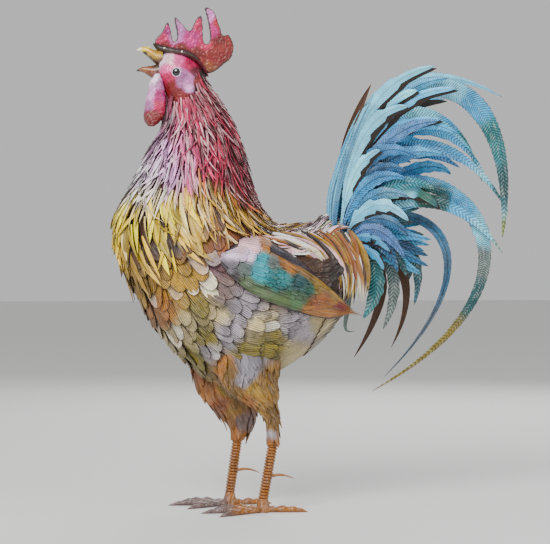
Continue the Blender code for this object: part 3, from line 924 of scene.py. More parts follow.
def sweep(blank: Blank, corners: Sequence[tuple[float, float]],
          width: float) -> tuple[np.ndarray, np.ndarray]:
    """Bends a blank along a curve in the side view.

    Args:
        blank: the flat blank.
        corners: the curve's start, two handles and end, in squares.
        width: its width in squares.

    Returns:
        Its points with Y left at 0, and their lay.
    """
    a, b, c, d = (np.array([x, 0, z]) * GRID for x, z in corners)
    share, across, _ = blank.points.T
    t, r = share[:, None], 1 - share[:, None]
    point = a * r**3 + b * 3 * r**2 * t + c * 3 * r * t**2 + d * t**3
    heading = unit((b - a) * r**2 + (c - b) * 2 * r * t + (d - c) * t**2)
    aside = np.stack([heading[:, 2], heading[:, 1], -heading[:, 0]], 1)
    reach = across * width * GRID / 2
    run = 0.9 * (np.linalg.norm(b - a) + np.linalg.norm(c - b) + np.linalg.norm(d - c))
    return point + aside * reach[:, None], np.stack([share * run, reach, share * 0], 1)


HACKLE_PAINT = sprays(
    ROSE=((-128, 398, 9), (-118, 384, 12), (-104, 344, 15)),
    MAUVE=((-146, 386, 9),),
    LILAC=((-150, 360, 15), (-140, 328, 14)),
    PINK=((-134, 368, 12), (-122, 346, 13), (-118, 324, 9)),
    CRIMSON=((-104, 398, 14), (-92, 368, 22), (-78, 336, 22), (-64, 308, 11)),
    PALE_LILAC=((-160, 330, 14),),
    CREAM=((-170, 312, 9), (-148, 312, 8)),
    LEMON=((-128, 292, 13), (-181, 282, 12), (-152, 270, 16)),
    GOLD=((-103, 310, 11), (-84, 302, 14), (-98, 272, 13), (-66, 284, 14), (-38, 292, 12)),
    YELLOW=((-122, 266, 16), (-194, 252, 10), (-144, 240, 16), (-116, 240, 13)),
    OCHRE=((-178, 234, 12),),
)

BODY_PAINT = sprays(
    WINE=((-110, 360, 40), (-100, 320, 25)),
    BROWN=((-90, 290, 14), (-140, 280, 30), (0, 240, 22), (40, 215, 14)),
    CHESTNUT=((-100, 278, 10), (-148, 196, 11), (-116, 250, 11)),
    SIENNA=((-82, 268, 9), (-96, 256, 7)),
    GOLD=((-112, 270, 10), (-124, 232, 16)),
    OCHRE=((-168, 216, 12), (-42, 124, 10)),
    MAUVE=((-94, 240, 7),),
    TAUPE=((-86, 214, 9), (-10, 290, 12)),
    DOVE=((-66, 202, 11), (-100, 160, 8), (-82, 176, 9), (-14, 182, 11), (-66, 132, 10)),
    STONE=((-92, 196, 9), (-120, 184, 10), (-138, 172, 10), (-50, 184, 9), (8, 188, 8), (-18, 156, 10)),
    OLIVE=((-108, 200, 9), (-102, 172, 9), (-114, 148, 9), (-40, 166, 12), (-64, 158, 8)),
    TAN=((-88, 142, 8),),
    UMBER=((-30, 262, 14), (30, 240, 18)),
)


@dataclass
class Plumage:
    """The hackle, breast, saddle and vent: strips and scales welded to the body in overlapping rows.

    Distances down the skin are metres from the collar, first on the breast line, then on the back.
    """

    skin: Skin
    strip_pitch: float = 0.0056
    hackle_rows: int = 18
    hackle_row_pitch: float = 0.0140
    # The turns from the breast line at which the hackle's last start is given, and those distances
    hackle_ends: tuple[tuple[float, ...], ...] = (
        (0, 60, 80, 100, 130, 180), (0.222, 0.204, 0.192, 0.200, 0.220, 0.24))
    # The same for the collar's strips, which start on the head
    collar_starts: tuple[tuple[float, ...], ...] = (
        (0, 40, 60, 112, 128, 180), (0.002, 0.008, 0.022, 0.030, 0.002, -0.002))
    breast_rows: int = 17
    breast_start: float = 0.180
    pale_rows: tuple[int, ...] = (4, 5)
    # Two rows: their first distances, how many courses they have, and the turns they run between
    saddle_rows: tuple[tuple[tuple[float, float], int, tuple[float, float]], ...] = (
        ((0.33, 0.185), 6, (120, 240)), ((0.42, 0.250), 5, (126, 234)))
    drapes: int = 104
    # Even satin with fine scratches along each strip
    enamel: Enamel = Enamel("brushed enamel on snipped strips", Relief.STREAKS, 0.0012, 0.0004, streak=0.14,
                            groove=0.3, speck=0.1, blotch=0.25, wear=0.5)
    # Thin washes with dark specks, over rays that catch the light, and rims worn to brown, darkened so far
    # that they are also a painted shadow round each scale
    scale_enamel: Enamel = Enamel("washed enamel on chased scales", Relief.RAYS, 0.0031, 0.0009,
                                  roughness=0.46, streak=0.14, groove=0.28, speck=0.5, wear=1.15, coat=0.1,
                                  blotch=0.45)

    def __post_init__(self) -> None:
        """Cuts the blanks that every row is laid from."""
        self.strip = BlankCutter(6, 2, strip_outline).cut()
        self.lancet = BlankCutter(8, 4, lancet_outline).cut()
        self.scale = BlankCutter(7, 6, scale_outline, 1.5, teeth=2, tooth_depth=0.12, ray_height=0.0005).cut()

    def coat(self, passes: Sequence[Spray], placed: np.ndarray, chance: random.Random, blend: float,
             lit: float = 0.0, strength: float = 1.0, spread: float = 0.32) -> np.ndarray:
        """One feather's colours: its own shade of the passes, lighter or darker than its neighbours.

        Args:
            passes: the spray passes.
            placed: the feather's points.
            chance: the source of chance.
            blend: how far the colour follows the passes along the feather.
            lit: how often a feather has a dry brush of white, which also stands as a painted highlight.
            strength: how light its colours are on average.
            spread: how much lighter or darker one feather is than another.

        Returns:
            A linear colour for each point.
        """
        aside = np.array([[chance.gauss(0, 0.006), 0, chance.gauss(0, 0.006)]])
        middle = placed.mean(0, keepdims=True) + aside
        colours = sprayed(passes, middle) * (1 - blend) + sprayed(passes, placed) * blend
        shade = strength * min(1.4, max(0.3, chance.gauss(0.95, spread)))
        # A dry brush of white: paint that also stands as a painted highlight on the feather
        if chance.random() < lit:
            colours = colours * 0.6 + linear(Tint.WHITE.value) * 0.38
            shade = 1.05
        return np.clip(colours * shade, 0, 1)

    def add_feather(self, pieces: Pieces, blank: Blank, colours: Callable[[np.ndarray], np.ndarray],
                    chance: random.Random, skin: Skin | None = None, **way: float | Lift) -> None:
        """Lays one feather on the skin and paints it.

        Args:
            pieces: the row that it belongs to.
            blank: the flat blank.
            colours: gives the colours of the laid points.
            chance: the source of chance.
            skin: what it is laid on, where that isn't the body.
            way: its turn, walk, length and so on, as lay_on_skin has them.
        """
        placed, lay = lay_on_skin(blank, skin or self.skin, **way)
        lay[:, 2] = chance.random()
        pieces.add(placed, blank.faces, colours(placed), blank.edge, lay)

    def finish_rows(self, rows: Sequence[Pieces], node: str, word: str, enamel: Enamel) -> None:
        """Makes an object of each row, numbered from 1.

        Args:
            rows: the rows.
            node: what their nodes are called before the number.
            word: what it has in place of row.
            enamel: their finish.
        """
        for i, pieces in enumerate(rows, 1):
            pieces.finish(f"{node.replace('row', word)}_{i}", enamel, f"{node}_{i}")

    def add_hackle(self) -> None:
        """Lays the hackle from the collar to the breast: snipped strips, and broad lancets low in front."""
        chance = Seed.HACKLE.start()
        groups = [Pieces() for _ in range(6)]
        for row in range(self.hackle_rows):
            walk = 0.001 + row * self.hackle_row_pitch
            pieces = groups[row * 6 // self.hackle_rows]
            ripe = row / (self.hackle_rows - 1)
            pitch = self.strip_pitch * (1 + 0.25 * ripe)
            for turn, start in self.skin.row((walk, walk * 0.93), (0, 359), pitch, chance.random()):
                front = math.cos(math.radians(turn))
                if walk > np.interp(min(turn, 360 - turn), *self.hackle_ends):
                    continue
                wide = ripe > 0.56 and front > 0.1
                if wide and chance.random() < 0.38:
                    continue
                length = (0.040 + 0.024 * ripe + 0.010 * max(0.0, -front) * ripe) * chance.uniform(0.85, 1.25)
                half = chance.uniform(0.0034, 0.0058) if wide else chance.uniform(0.0014, 0.0026)
                crossing = 2.4 if chance.random() < 0.2 else 1.0
                # White dry-brushed strips, which also stand as painted highlights, come more often on the
                # upper front of the neck, where the key light falls
                lit = 0.03 if wide else 0.24 + 0.24 * max(0.0, front) * (ripe < 0.5)
                self.add_feather(
                    pieces, self.lancet if wide else self.strip,
                    lambda placed: self.coat(HACKLE_PAINT, placed, chance, 0.35, lit, 1.15), chance,
                    turn=turn, walk=start + chance.uniform(-0.006, 0.006), length=length, half=half,
                    lift=Lift(0.0015 + chance.uniform(0, 0.002), 0.0070 + 0.004 * ripe + 0.0012 * crossing),
                    swing=chance.gauss(0, 0.12) * crossing, bend=chance.gauss(0, 0.006) * crossing,
                    roll=chance.gauss(0, 0.45), crease=0.3,
                )
        self.add_collar(groups[0], chance)
        self.finish_rows(groups, "hackle_row", "strips", self.enamel)

    def add_collar(self, pieces: Pieces, chance: random.Random) -> None:
        """Lays the topmost strips, which start on the head: low at the cheeks, high at the nape.

        Args:
            pieces: the row that they belong to.
            chance: the source of chance.
        """
        neck = Skin(lambda turn: body_line(turn, (NECK_STATION, *BODY_STATIONS[:6])), 0.2)
        for row in range(4):
            for turn, _ in neck.row((0, 0), (0, 359), 0.0040, chance.random()):
                start = float(np.interp(min(turn, 360 - turn), *self.collar_starts)) + 0.010 * row
                self.add_feather(
                    pieces, self.strip, lambda placed: self.coat(HACKLE_PAINT, placed, chance, 0.35, 0.15),
                    chance, neck, turn=turn, walk=max(0.0, start + chance.uniform(-0.003, 0.003)),
                    length=chance.uniform(0.028, 0.044), half=chance.uniform(0.0013, 0.0022),
                    lift=Lift(0.0010, 0.0070), swing=chance.gauss(0, 0.10), roll=chance.gauss(0, 0.3),
                    crease=0.3,
                )

    def add_breast(self) -> None:
        """Lays the rounded breast feathers, large at the top and smaller below."""
        chance = Seed.BREAST.start()
        groups = [Pieces() for _ in range(5)]
        reach = self.breast_start
        for row in range(self.breast_rows):
            small = row / (self.breast_rows - 1)
            half = 0.0136 - 0.0044 * small
            reach += 0.0192 - 0.0046 * small
            starts = (reach, reach * 0.75 + 0.012)
            pieces = groups[row * 5 // self.breast_rows]
            for turn, start in self.skin.row(starts, (-106, 106), half * 1.85, row % 2 / 2):
                pale = row in self.pale_rows and 58 < abs(turn) < 70
                self.add_feather(
                    pieces, self.scale,
                    (lambda placed: plain(Tint.CREAM, placed)) if pale else
                    (lambda placed: self.coat(BODY_PAINT, placed, chance, 0.7, 0.05, 1.0, 0.15)),
                    chance, turn=turn, walk=start + chance.uniform(-0.004, 0.004),
                    length=half * 3.1 * chance.uniform(0.85, 1.2), half=half * chance.uniform(0.85, 1.2),
                    lift=Lift(0.0012, chance.uniform(0.0050, 0.0092)),
                    swing=chance.gauss(0, 0.2), roll=chance.gauss(0, 0.16), crease=0.12,
                )
        self.finish_rows(groups, "breast_row", "scales", self.scale_enamel)

    def add_saddle(self) -> None:
        """Lays the saddle strips over the back and down behind the wings."""
        chance = Seed.SADDLE.start()
        tints = (Tint.SHELL, Tint.PALE_LILAC, Tint.CREAM, Tint.SHELL, Tint.WHITE, Tint.SHELL, Tint.WHITE,
                 Tint.SIENNA)
        groups = [Pieces() for _ in self.saddle_rows]
        for pieces, (first, courses, arc) in zip(groups, self.saddle_rows):
            for course in range(courses):
                starts = (first[0] + 0.012 * course, first[1] + 0.012 * course)
                for turn, start in self.skin.row(starts, arc, 0.0058, chance.random()):
                    tint = chance.choice(tints)
                    tone = chance.uniform(0.85, 1.3)
                    self.add_feather(
                        pieces, self.strip, lambda placed: plain(tint, placed, tone), chance,
                        turn=turn, walk=start, length=chance.uniform(0.045, 0.078),
                        half=chance.uniform(0.0014, 0.0027), lift=Lift(0.002, chance.uniform(0.006, 0.012)),
                        swing=chance.gauss(0, 0.16), bend=chance.gauss(0, 0.006), roll=chance.gauss(0, 0.5),
                        crease=0.3,
                    )
        self.finish_rows(groups, "saddle_row", "strips", self.enamel)

    def add_rump(self) -> None:
        """Lays the long drapes that hang over the rump behind each wing, many of them pale-tipped."""
        chance = Seed.RUMP.start()
        tints = (Tint.SHELL, Tint.CREAM, Tint.SHELL, Tint.SIENNA, Tint.WHITE, Tint.UMBER, Tint.CHESTNUT,
                 Tint.GOLD, Tint.BROWN, Tint.OCHRE)
        front_tints, rear_tints = tints[:7], tints[3:]
        drape = BlankCutter(14, 4, lancet_outline).cut()
        along, across, up = drape.points.T
        for word, side in (("left", -1), ("right", 1)):
            pieces = Pieces()
            for i in range(self.drapes):
                share = (i * 31 % self.drapes) / (self.drapes - 1)
                depth = chance.random()
                root = (-60 + 92 * share + chance.uniform(-5, 5), 274 + 5 * share - 12 * depth)
                tip = (-6 + 52 * share + chance.uniform(-8, 8),
                       248 - 34 * share - 14 * depth + chance.uniform(-8, 6))
                first, second = ((root[0] + part * (tip[0] - root[0]) + right,
                                  root[1] + part * (tip[1] - root[1]) + rise)
                                 for part, right, rise in ((0.35, 6, 8), (0.72, 9, 9)))
                placed, lay = sweep(drape, (root, first, second, tip), chance.uniform(2.4, 5.0))
                out = (60 - 18 * share + 5 * np.sin(np.pi * along) - 9 * along - 4 * depth) * GRID
                crease = 0.0012 * (1 - np.abs(across))
                placed[:, 1] = side * (out + up + crease + chance.uniform(-0.0015, 0.0015) * across)
                white = np.clip((along - chance.uniform(0.6, 0.8)) * 5, 0, 1)[:, None]
                white *= chance.random() < 0.6
                ahead = share + chance.gauss(0, 0.2) < 0.55
                tone = linear(chance.choice(front_tints if ahead else rear_tints).value)
                colours = tone * (1 - white) + linear(Tint.CREAM.value) * white
                lay[:, 2] = chance.random()
                pieces.add(placed, drape.faces, colours, drape.edge, lay)
            pieces.finish(f"{word}_rump_drapes", self.enamel, f"{word}_rump_row")

    def add_vent(self) -> None:
        """Lays the small feathers under the tail."""
        chance = Seed.VENT.start()
        pieces = Pieces()
        for row in range(6):
            starts = (0.600 + 0.020 * row, 0.340 + 0.014 * row)
            for turn, start in self.skin.row(starts, (-92, 92), 0.0105, chance.random()):
                self.add_feather(
                    pieces, self.lancet, lambda placed: self.coat(BODY_PAINT, placed, chance, 0.3), chance,
                    turn=turn, walk=start, length=chance.uniform(0.036, 0.050),
                    half=chance.uniform(0.004, 0.006), lift=Lift(0.001, 0.005),
                    swing=chance.gauss(0, 0.12), roll=chance.gauss(0, 0.2), crease=0.3,
                )
        pieces.finish("vent_feathers", self.enamel, like="body")

    def build(self) -> None:
        """Lays every row."""
        self.add_hackle()
        self.add_breast()
        self.add_saddle()
        self.add_rump()
        self.add_vent()


@dataclass
class Body:
    """The welded body under the plumage, hair-chased where no feathers cover it."""

    segments: int = 96
    steps: int = 130
    # Matt, streaked and specked, so that it stays behind the feathers
    enamel: Enamel = Enamel("washed enamel on hair-chased steel", Relief.STREAKS, 0.0015, 0.0009,
                            roughness=0.5, streak=0.1, groove=0.45, speck=0.45, coat=0.1)

    def build(self) -> None:
        """Skins the body from collar to rump and closes both ends."""
        turns = np.arange(self.segments) * 360 / self.segments
        lines = np.array([body_line(turn) for turn in turns])
        picked = np.linspace(0, lines.shape[1] - 1, self.steps).astype(int)
        points = lines[:, picked].transpose(1, 0, 2).reshape(-1, 3)
        count = self.segments
        faces = [tuple(range(count)), tuple(range(len(points) - count, len(points)))[::-1]]
        for r in range(self.steps - 1):
            for i in range(count):
                a, b = r * count + i, r * count + (i + 1) % count
                faces.append((a, a + count, b + count, b))
        made = add_object("body_shell", points, faces)
        along = np.repeat(picked * 0.001, count)
        across = np.radians(np.tile(turns, self.steps)) * 0.08
        lay = np.stack([along, across, along * 0], 1)
        paint_points(made, sprayed(BODY_PAINT, points), np.zeros(len(points)), lay)
        place(made, self.enamel, "body")


TAIL_CENTRE = (27, 260)
TAIL_ROOT_DEPTH = 8
RUMP_RADIUS = 32
TAIL_LANE = 0.0034
TAIL_FLARE = 0.200

TAIL_PAINT = sprays(
    ICE=((30, 330, 14), (44, 362, 16), (60, 396, 16), (104, 430, 22), (86, 308, 12), (134, 414, 16),
        (174, 326, 14), (176, 280, 11)),
    SKY=((90, 384, 14), (122, 366, 16), (48, 306, 12), (164, 400, 12), (150, 350, 14), (152, 300, 10)),
    SLATE=((66, 346, 12), (60, 270, 14), (92, 268, 12), (118, 216, 10)),
    AZURE=((92, 344, 14),),
    TEAL=((182, 366, 14), (58, 238, 10), (56, 204, 10)),
    DEEP_TEAL=((196, 326, 14), (130, 306, 9), (158, 214, 12), (104, 246, 10)),
    MOSS=((192, 276, 8),),
    PINE=((116, 310, 7),),
    SMOKE=((168, 246, 10), (84, 204, 10)),
    OLIVE=((128, 176, 16), (88, 134, 16)),
)


class Plume(Enum):
    """The finishes of the tail's feathers."""

    # Clean and light, with a thin dark line along the quill
    PALE = Enamel("pale enamel on smooth feathers", Relief.BARBS, 0.0040, 0.0005, groove=0.16, speck=0.12,
                  blotch=0.2, streak=0.18, wear=0.6, rib=0.45)
    # Speckled, with barbs that show and a strong quill line
    SPECKED = Enamel("specked enamel on chased feathers", Relief.BARBS, 0.0046, 0.0008, groove=0.45,
                     speck=0.75, blotch=0.3, streak=0.2, wear=0.65, rib=0.8)
    # Streaked, with deep dark barbs
    SLIT = Enamel("streaked enamel on slit feathers", Relief.BARBS, 0.0064, 0.0012, groove=0.85, speck=0.3,
                  blotch=0.3, streak=0.4, wear=0.6)
    # Dull brown metal, nearly without pattern; the dark backings under pale feathers, which are also painted
    # shadow, wear it too
    BARE = Enamel("dark varnish on bare steel", Relief.STREAKS, 0.0014, 0.0004, roughness=0.5, groove=0.2,
                  speck=0.3, blotch=0.2, streak=0.0, wear=0.3, coat=0.0)


@dataclass(frozen=True)
class Sickle:
    """One tail feather's run, in squares: its lane from the middle plane (minus is the left), the
    angle of its root round the tail's centre, two handles, the tip and the width."""

    node: str
    lane: float
    root: float
    first: tuple[float, float]
    second: tuple[float, float]
    tip: tuple[float, float]
    width: float
    teeth: int = 0
    plume: Plume = Plume.SLIT
    tint: Tint | None = None


SICKLES = tuple(Sickle(*row) for row in (
    ("tail_covert_upper", -12, 97, (33, 352), (51, 404), (97, 414), 20, 5, Plume.PALE),
    ("tail_covert_front", -11, 86, (38, 340), (66, 390), (122, 386), 19, 5, Plume.PALE),
    ("tail_covert_middle", -10, 70, (44, 330), (74, 366), (126, 352), 18, 18, Plume.SPECKED),
    ("tail_covert_lower", -9, 48, (55, 318), (95, 334), (123, 300), 18, 5, Plume.PALE),
    ("tail_fern", -8, -6, (64, 258), (74, 224), (49, 190), 18, 18, Plume.SLIT, Tint.TEAL),
    ("tail_teal_sickle", -7, 34, (66, 322), (142, 326), (189, 255), 17, 30),
    ("tail_great_sickle", -6, 92, (41, 470), (212, 470), (190, 271), 23, 60),
    ("tail_long_sickle", -5, 42, (85, 416), (306, 251), (59, 118), 18, 52),
    ("tail_blue_sickle", -4, 62, (48, 370), (138, 404), (198, 297), 16, 30),
    ("tail_serrated", -3, 4, (82, 266), (96, 226), (72, 179), 13, 18, Plume.SLIT, Tint.SMOKE),
    ("tail_crown_streamer", -2, 102, (43, 420), (99, 462), (194, 413), 15, 30, Plume.PALE, Tint.ICE),
    ("tail_olive_sickle", -1, 18, (79, 292), (123, 262), (105, 203), 13, 18, Plume.SLIT, Tint.DEEP_TEAL),
    ("tail_second_sickle", 1, 78, (47, 396), (131, 412), (180, 338), 16, 30),
    ("tail_thin_sickle", 2, 26, (91, 336), (221, 270), (77, 130), 10, 0, Plume.SPECKED, Tint.SLATE),
    ("tail_first_sickle", 4, 86, (44, 410), (124, 424), (172, 357), 15, 30, Plume.SLIT, Tint.ICE),
    ("tail_middle_sickle", 5, 46, (69, 340), (133, 356), (149, 336), 14, 18, Plume.SPECKED),
    ("tail_dark_blade", 6, 8, (95, 272), (121, 222), (87, 159), 10, 0, Plume.BARE, Tint.BROWN),
    ("tail_dark_sickle", 7, -6, (90, 258), (86, 206), (49, 149), 11, 0, Plume.BARE, Tint.BROWN),
    ("tail_rear_sickle", 8, 80, (50, 420), (154, 440), (186, 330), 17, 30),
    ("tail_curl", 9, -22, (61, 214), (23, 168), (51, 176), 5, 0, Plume.BARE, Tint.SMOKE),
    ("tail_rear_covert", 10, 70, (50, 346), (84, 384), (136, 366), 18, 18, Plume.SPECKED),
    ("tail_rear_hanger", 11, 14, (90, 300), (126, 268), (104, 222), 14, 18, Plume.SLIT, Tint.DEEP_TEAL),
    ("tail_front_blade", 12, 100, (38, 344), (50, 394), (73, 431), 13, 0, Plume.BARE, Tint.BROWN),
))

# The short feathers that climb the front edge of the tail, drawn for the left side
LADDER = tuple(Sickle("tail_fan", *row) for row in (
    (-12.7, 98, (27, 358), (46, 424), (112, 437), 17, 5, Plume.PALE, Tint.ICE),
    (-11.5, 96, (30, 350), (64, 416), (136, 416), 16, 5, Plume.PALE, Tint.SKY),
    (-13.0, 96, (25, 342), (46, 398), (88, 398), 17, 5, Plume.PALE, Tint.ICE),
    (-11.8, 88, (32, 338), (74, 384), (118, 384), 16, 18, Plume.SPECKED, Tint.PERIWINKLE),
    (-12.4, 92, (28, 328), (52, 374), (98, 350), 17, 18, Plume.SPECKED, Tint.AZURE),
    (-13.3, 96, (26, 316), (40, 350), (62, 356), 13, 5, Plume.PALE, Tint.ICE),
    (-12.1, 84, (30, 318), (58, 350), (88, 336), 15, 18, Plume.SPECKED, Tint.SLATE),
    (-13.0, 84, (28, 304), (52, 342), (88, 328), 15, 18, Plume.SPECKED, Tint.AZURE),
    (-12.5, 74, (34, 298), (60, 326), (92, 310), 14, 18, Plume.SPECKED, Tint.SLATE),
    (-13.3, 70, (36, 290), (62, 322), (92, 286), 17, 5, Plume.PALE, Tint.ICE),
    (-12.8, 58, (40, 284), (64, 304), (92, 272), 15, 18, Plume.SPECKED, Tint.SLATE),
    (-13.2, 44, (44, 280), (66, 290), (88, 250), 14, 18, Plume.SPECKED, Tint.PERIWINKLE),
    (-12.2, 30, (46, 276), (72, 274), (82, 236), 14, 18, Plume.SLIT, Tint.SLATE),
    (-13.4, 36, (38, 272), (58, 276), (74, 256), 11, 5, Plume.PALE, Tint.SKY),
    (-13.0, 20, (40, 262), (60, 262), (68, 238), 11, 5, Plume.PALE, Tint.SKY),
    (-11.0, 50, (50, 310), (86, 338), (118, 318), 14, 18, Plume.SLIT, Tint.TEAL),
    (-10.4, 78, (36, 356), (88, 404), (140, 372), 15, 18, Plume.SPECKED, Tint.SKY),
    (-8.4, 66, (48, 350), (96, 378), (148, 344), 13, 18, Plume.SLIT, Tint.AZURE),
    (-9.4, 8, (56, 262), (84, 262), (92, 232), 13, 18, Plume.SLIT, Tint.DEEP_TEAL),
    (-7.4, 88, (38, 372), (76, 424), (132, 428), 15, 18, Plume.SPECKED, Tint.SKY),
))


@dataclass
class Tail:
    """The fanned tail: long sickles, the ladder of short feathers on each side, and the quills."""

    # The height of a feather's fold as a share of its width
    fold: float = 0.10
    # How far back the ladder stands on the right, in squares
    lag: float = 13.0
    quills: int = 36
    inner_feathers: int = 26

    def __post_init__(self) -> None:
        """Cuts the blanks, by their teeth: one plain, two torn, and slit ones for each length."""
        # The dark feathers under the pale ones: bare steel, and also a painted shadow
        self.shadow_backings = Pieces()
        self.blanks = {0: BlankCutter(26, 4, sickle_outline).cut()}
        self.blanks[5] = BlankCutter(30, 6, leaf_outline, teeth=5, tooth_depth=0.42).cut()
        self.blanks[6] = BlankCutter(30, 4, leaf_outline, teeth=6, tooth_depth=0.25).cut()
        slit = {18: leaf_outline, 30: sickle_outline, 52: sickle_outline, 60: great_outline}
        for teeth, outline in slit.items():
            self.blanks[teeth] = BlankCutter(teeth * 2, 6, outline, teeth=teeth, tooth_depth=0.17).cut()

    def lay(self, sickle: Sickle, blank: Blank) -> tuple[np.ndarray, np.ndarray]:
        """Bends a blank along its feather's run, in its own lane.

        Args:
            sickle: the feather.
            blank: the flat blank.

        Returns:
            Its points, and their lay.
        """
        turn = math.radians(sickle.root)
        x, z = TAIL_CENTRE
        root = (x + TAIL_ROOT_DEPTH * math.cos(turn), z + TAIL_ROOT_DEPTH * math.sin(turn))
        placed, lay = sweep(blank, (root, sickle.first, sickle.second, sickle.tip), sickle.width)
        side = -1 if sickle.lane < 0 else 1
        centre = np.array([x, 0, z]) * GRID
        spread = 1 + (np.linalg.norm(placed - centre, axis=1) - RUMP_RADIUS * GRID) / TAIL_FLARE
        fold = self.fold * sickle.width * GRID * (1 - np.abs(blank.points[:, 1]))
        placed[:, 1] = sickle.lane * TAIL_LANE * spread + side * (fold + blank.points[:, 2])
        return placed, lay

    def add(self, pieces: Pieces, sickle: Sickle, chance: random.Random) -> None:
        """Lays and paints one feather.

        Args:
            pieces: where it goes.
            sickle: the feather.
            chance: the source of chance.
        """
        blank = self.blanks[sickle.teeth]
        placed, lay = self.lay(sickle, blank)
        lay[:, 2] = chance.random()
        colours = sprayed(TAIL_PAINT, placed)
        if sickle.tint:
            share = 1.0 if sickle.plume is Plume.BARE else 0.7
            colours = colours * (1 - share) + linear(sickle.tint.value) * share
        edge = np.where(blank.edge > 0.97, 0.45, blank.edge)
        pieces.add(placed, blank.faces, colours * chance.uniform(0.9, 1.15), edge, lay)

    # Each backing is bare steel and also paints the shadow under its pale feather
    def shadow_backing(self, feather: Sickle) -> Sickle:
        """The torn dark feather that shows below a pale one.

        Args:
            feather: the pale feather.

        Returns:
            The dark feather, a little lower and nearer the middle: bare steel, and also a painted
            shadow under the pale one.
        """
        first, second, tip = ((x + 2.5, z - drop) for (x, z), drop in
                              ((feather.first, 2), (feather.second, 3), (feather.tip, 2)))
        lane = feather.lane - math.copysign(0.25, feather.lane)
        return replace(feather, lane=lane, first=first, second=second, tip=tip, width=feather.width * 0.98,
                       teeth=6, plume=Plume.BARE, tint=Tint.UMBER)

    def add_sickles(self) -> None:
        """Lays the feathers that the frame has."""
        chance = Seed.SICKLES.start()
        for sickle in SICKLES:
            pieces = Pieces()
            self.add(pieces, sickle, chance)
            # Under each pale torn feather, a dark one: bare steel and a painted shadow
            if sickle.plume is Plume.PALE and sickle.teeth == 5:
                self.add(self.shadow_backings, self.shadow_backing(sickle), chance)
            pieces.finish(sickle.node.replace("tail_", "feather_"), sickle.plume.value, sickle.node)

    def add_ladder(self) -> None:
        """Lays the ladder on both sides, with the front edge's quills and the inner feathers between."""
        chance = Seed.LADDER.start()
        groups = {plume: Pieces() for plume in Plume}
        # The ladder's bare piece holds the dark backings, which are partly painted shadow
        groups[Plume.BARE] = self.shadow_backings
        for sickle in LADDER:
            first, second, tip = ((x + self.lag, z) for x, z in (sickle.first, sickle.second, sickle.tip))
            tip = (tip[0] + chance.uniform(-4, 4), tip[1] + chance.uniform(-4, 4))
            for feather in (sickle, replace(sickle, lane=-sickle.lane, first=first, second=second, tip=tip)):
                self.add(groups[feather.plume], feather, chance)
                # Under each pale ladder feather, a dark one: bare steel and a painted shadow
                if feather.plume is Plume.PALE:
                    self.add(groups[Plume.BARE], self.shadow_backing(feather), chance)
        self.add_quills(groups[Plume.PALE], chance)
        self.add_inner(groups[Plume.SPECKED], chance)
        for plume, pieces in groups.items():
            nodes = ("tail_fan",) if plume is Plume.PALE else ()
            pieces.finish(f"ladder_{plume.name.lower()}", plume.value, *nodes, like="tail_fan")

    def add_quills(self, pieces: Pieces, chance: random.Random) -> None:
        """Lays the thin quills that close the tail's front edge from side to side.

        Args:
            pieces: where they go.
            chance: the source of chance.
        """
        for i in range(self.quills):
            lane = -13.9 + 27.8 * i / (self.quills - 1)
            top = chance.uniform(0, 1)
            lag = self.lag * max(0.0, lane) / 13.4
            tip = (26 + 30 * top + chance.uniform(-2, 2) + lag, 332 + 80 * top)
            quill = Sickle(
                "tail_fan", lane, 135, (14 + lag, 300), (19 + 12 * top + lag, 330 + 40 * top), tip,
                chance.uniform(3, 5), 0, Plume.PALE,
                chance.choice((Tint.ICE, Tint.ICE, Tint.SLATE, Tint.SKY)))
            self.add(pieces, quill, chance)

    def add_inner(self, pieces: Pieces, chance: random.Random) -> None:
        """Lays the feathers that fill the tail's middle.

        Args:
            pieces: where they go.
            chance: the source of chance.
        """
        x, z = TAIL_CENTRE
        count = self.inner_feathers
        for i in range(count):
            lane = -8 + 16 * i / (count - 1)
            angle = math.radians(-20 + 92 * (i * 7 % count) / (count - 1))
            reach = chance.uniform(70, 96)
            middle = (x + 0.5 * reach * math.cos(angle + 0.35), z + 0.5 * reach * math.sin(angle + 0.35))
            tip = (x + 8 + reach * math.cos(angle), z + reach * math.sin(angle))
            inner = Sickle(
                "tail_fan", lane, math.degrees(angle), middle, middle, tip, chance.uniform(13, 17), 18,
                Plume.SPECKED, chance.choice((Tint.SLATE, Tint.AZURE, Tint.DEEP_TEAL, Tint.SKY)))
            self.add(pieces, inner, chance)

    def build(self) -> None:
        """Lays the whole tail."""
        self.add_sickles()
        self.add_ladder()


WING_PAINT = sprays(
    SHELL=((-66, 266, 9), (-55, 260, 7)),
    PALE_LILAC=((-80, 256, 8), (-61, 252, 6)),
    ASH=((-80, 240, 7),),
    SMOKE=((-65, 239, 6), (-37, 244, 6)),
    DUSK=((-75, 231, 5),),
    TURQUOISE=((-49, 249, 6), (-49, 238, 8)),
    TEAL=((-31, 231, 9),),
    DEEP_TEAL=((-11, 227, 8),),
    PINE=((-3, 220, 6),),
    GRASS=((-66, 221, 9), (-49, 212, 9), (-28, 206, 9)),
    FERN=((-14, 208, 8),),
    CHESTNUT=((-44, 263, 8), (-21, 246, 11), (-3, 197, 7), (16, 196, 8)),
    TAN=((-4, 236, 8),),
    OCHRE=((9, 226, 8), (24, 214, 7)),
    SIENNA=((14, 211, 5), (4, 206, 6)),
    OXIDE=((27, 203, 4),),
)

# The wing in squares: its ends, its length, its outline as the reach above and below its axis at a
# share of the length, its half spans from the middle plane at even shares, and how far its skin
# curves in over its middle and at its upper edge. Half its height is in metres
WING_SHOULDER = (-97, 250)
WING_TIP = (34, 198)
WING_LENGTH = 141
WING_OUTLINE = (
    (0.0, 9, 7), (0.08, 27, 14), (0.24, 33, 22), (0.42, 30, 24),
    (0.58, 25, 23), (0.72, 19, 21), (0.86, 12, 17), (1.0, 3, 5),
)
WING_HALF_SPANS = (79, 82, 83, 81, 77, 68, 58, 48)
WING_CROWN = 3
WING_TUCK = 14
WING_HALF_HEIGHT = 0.036


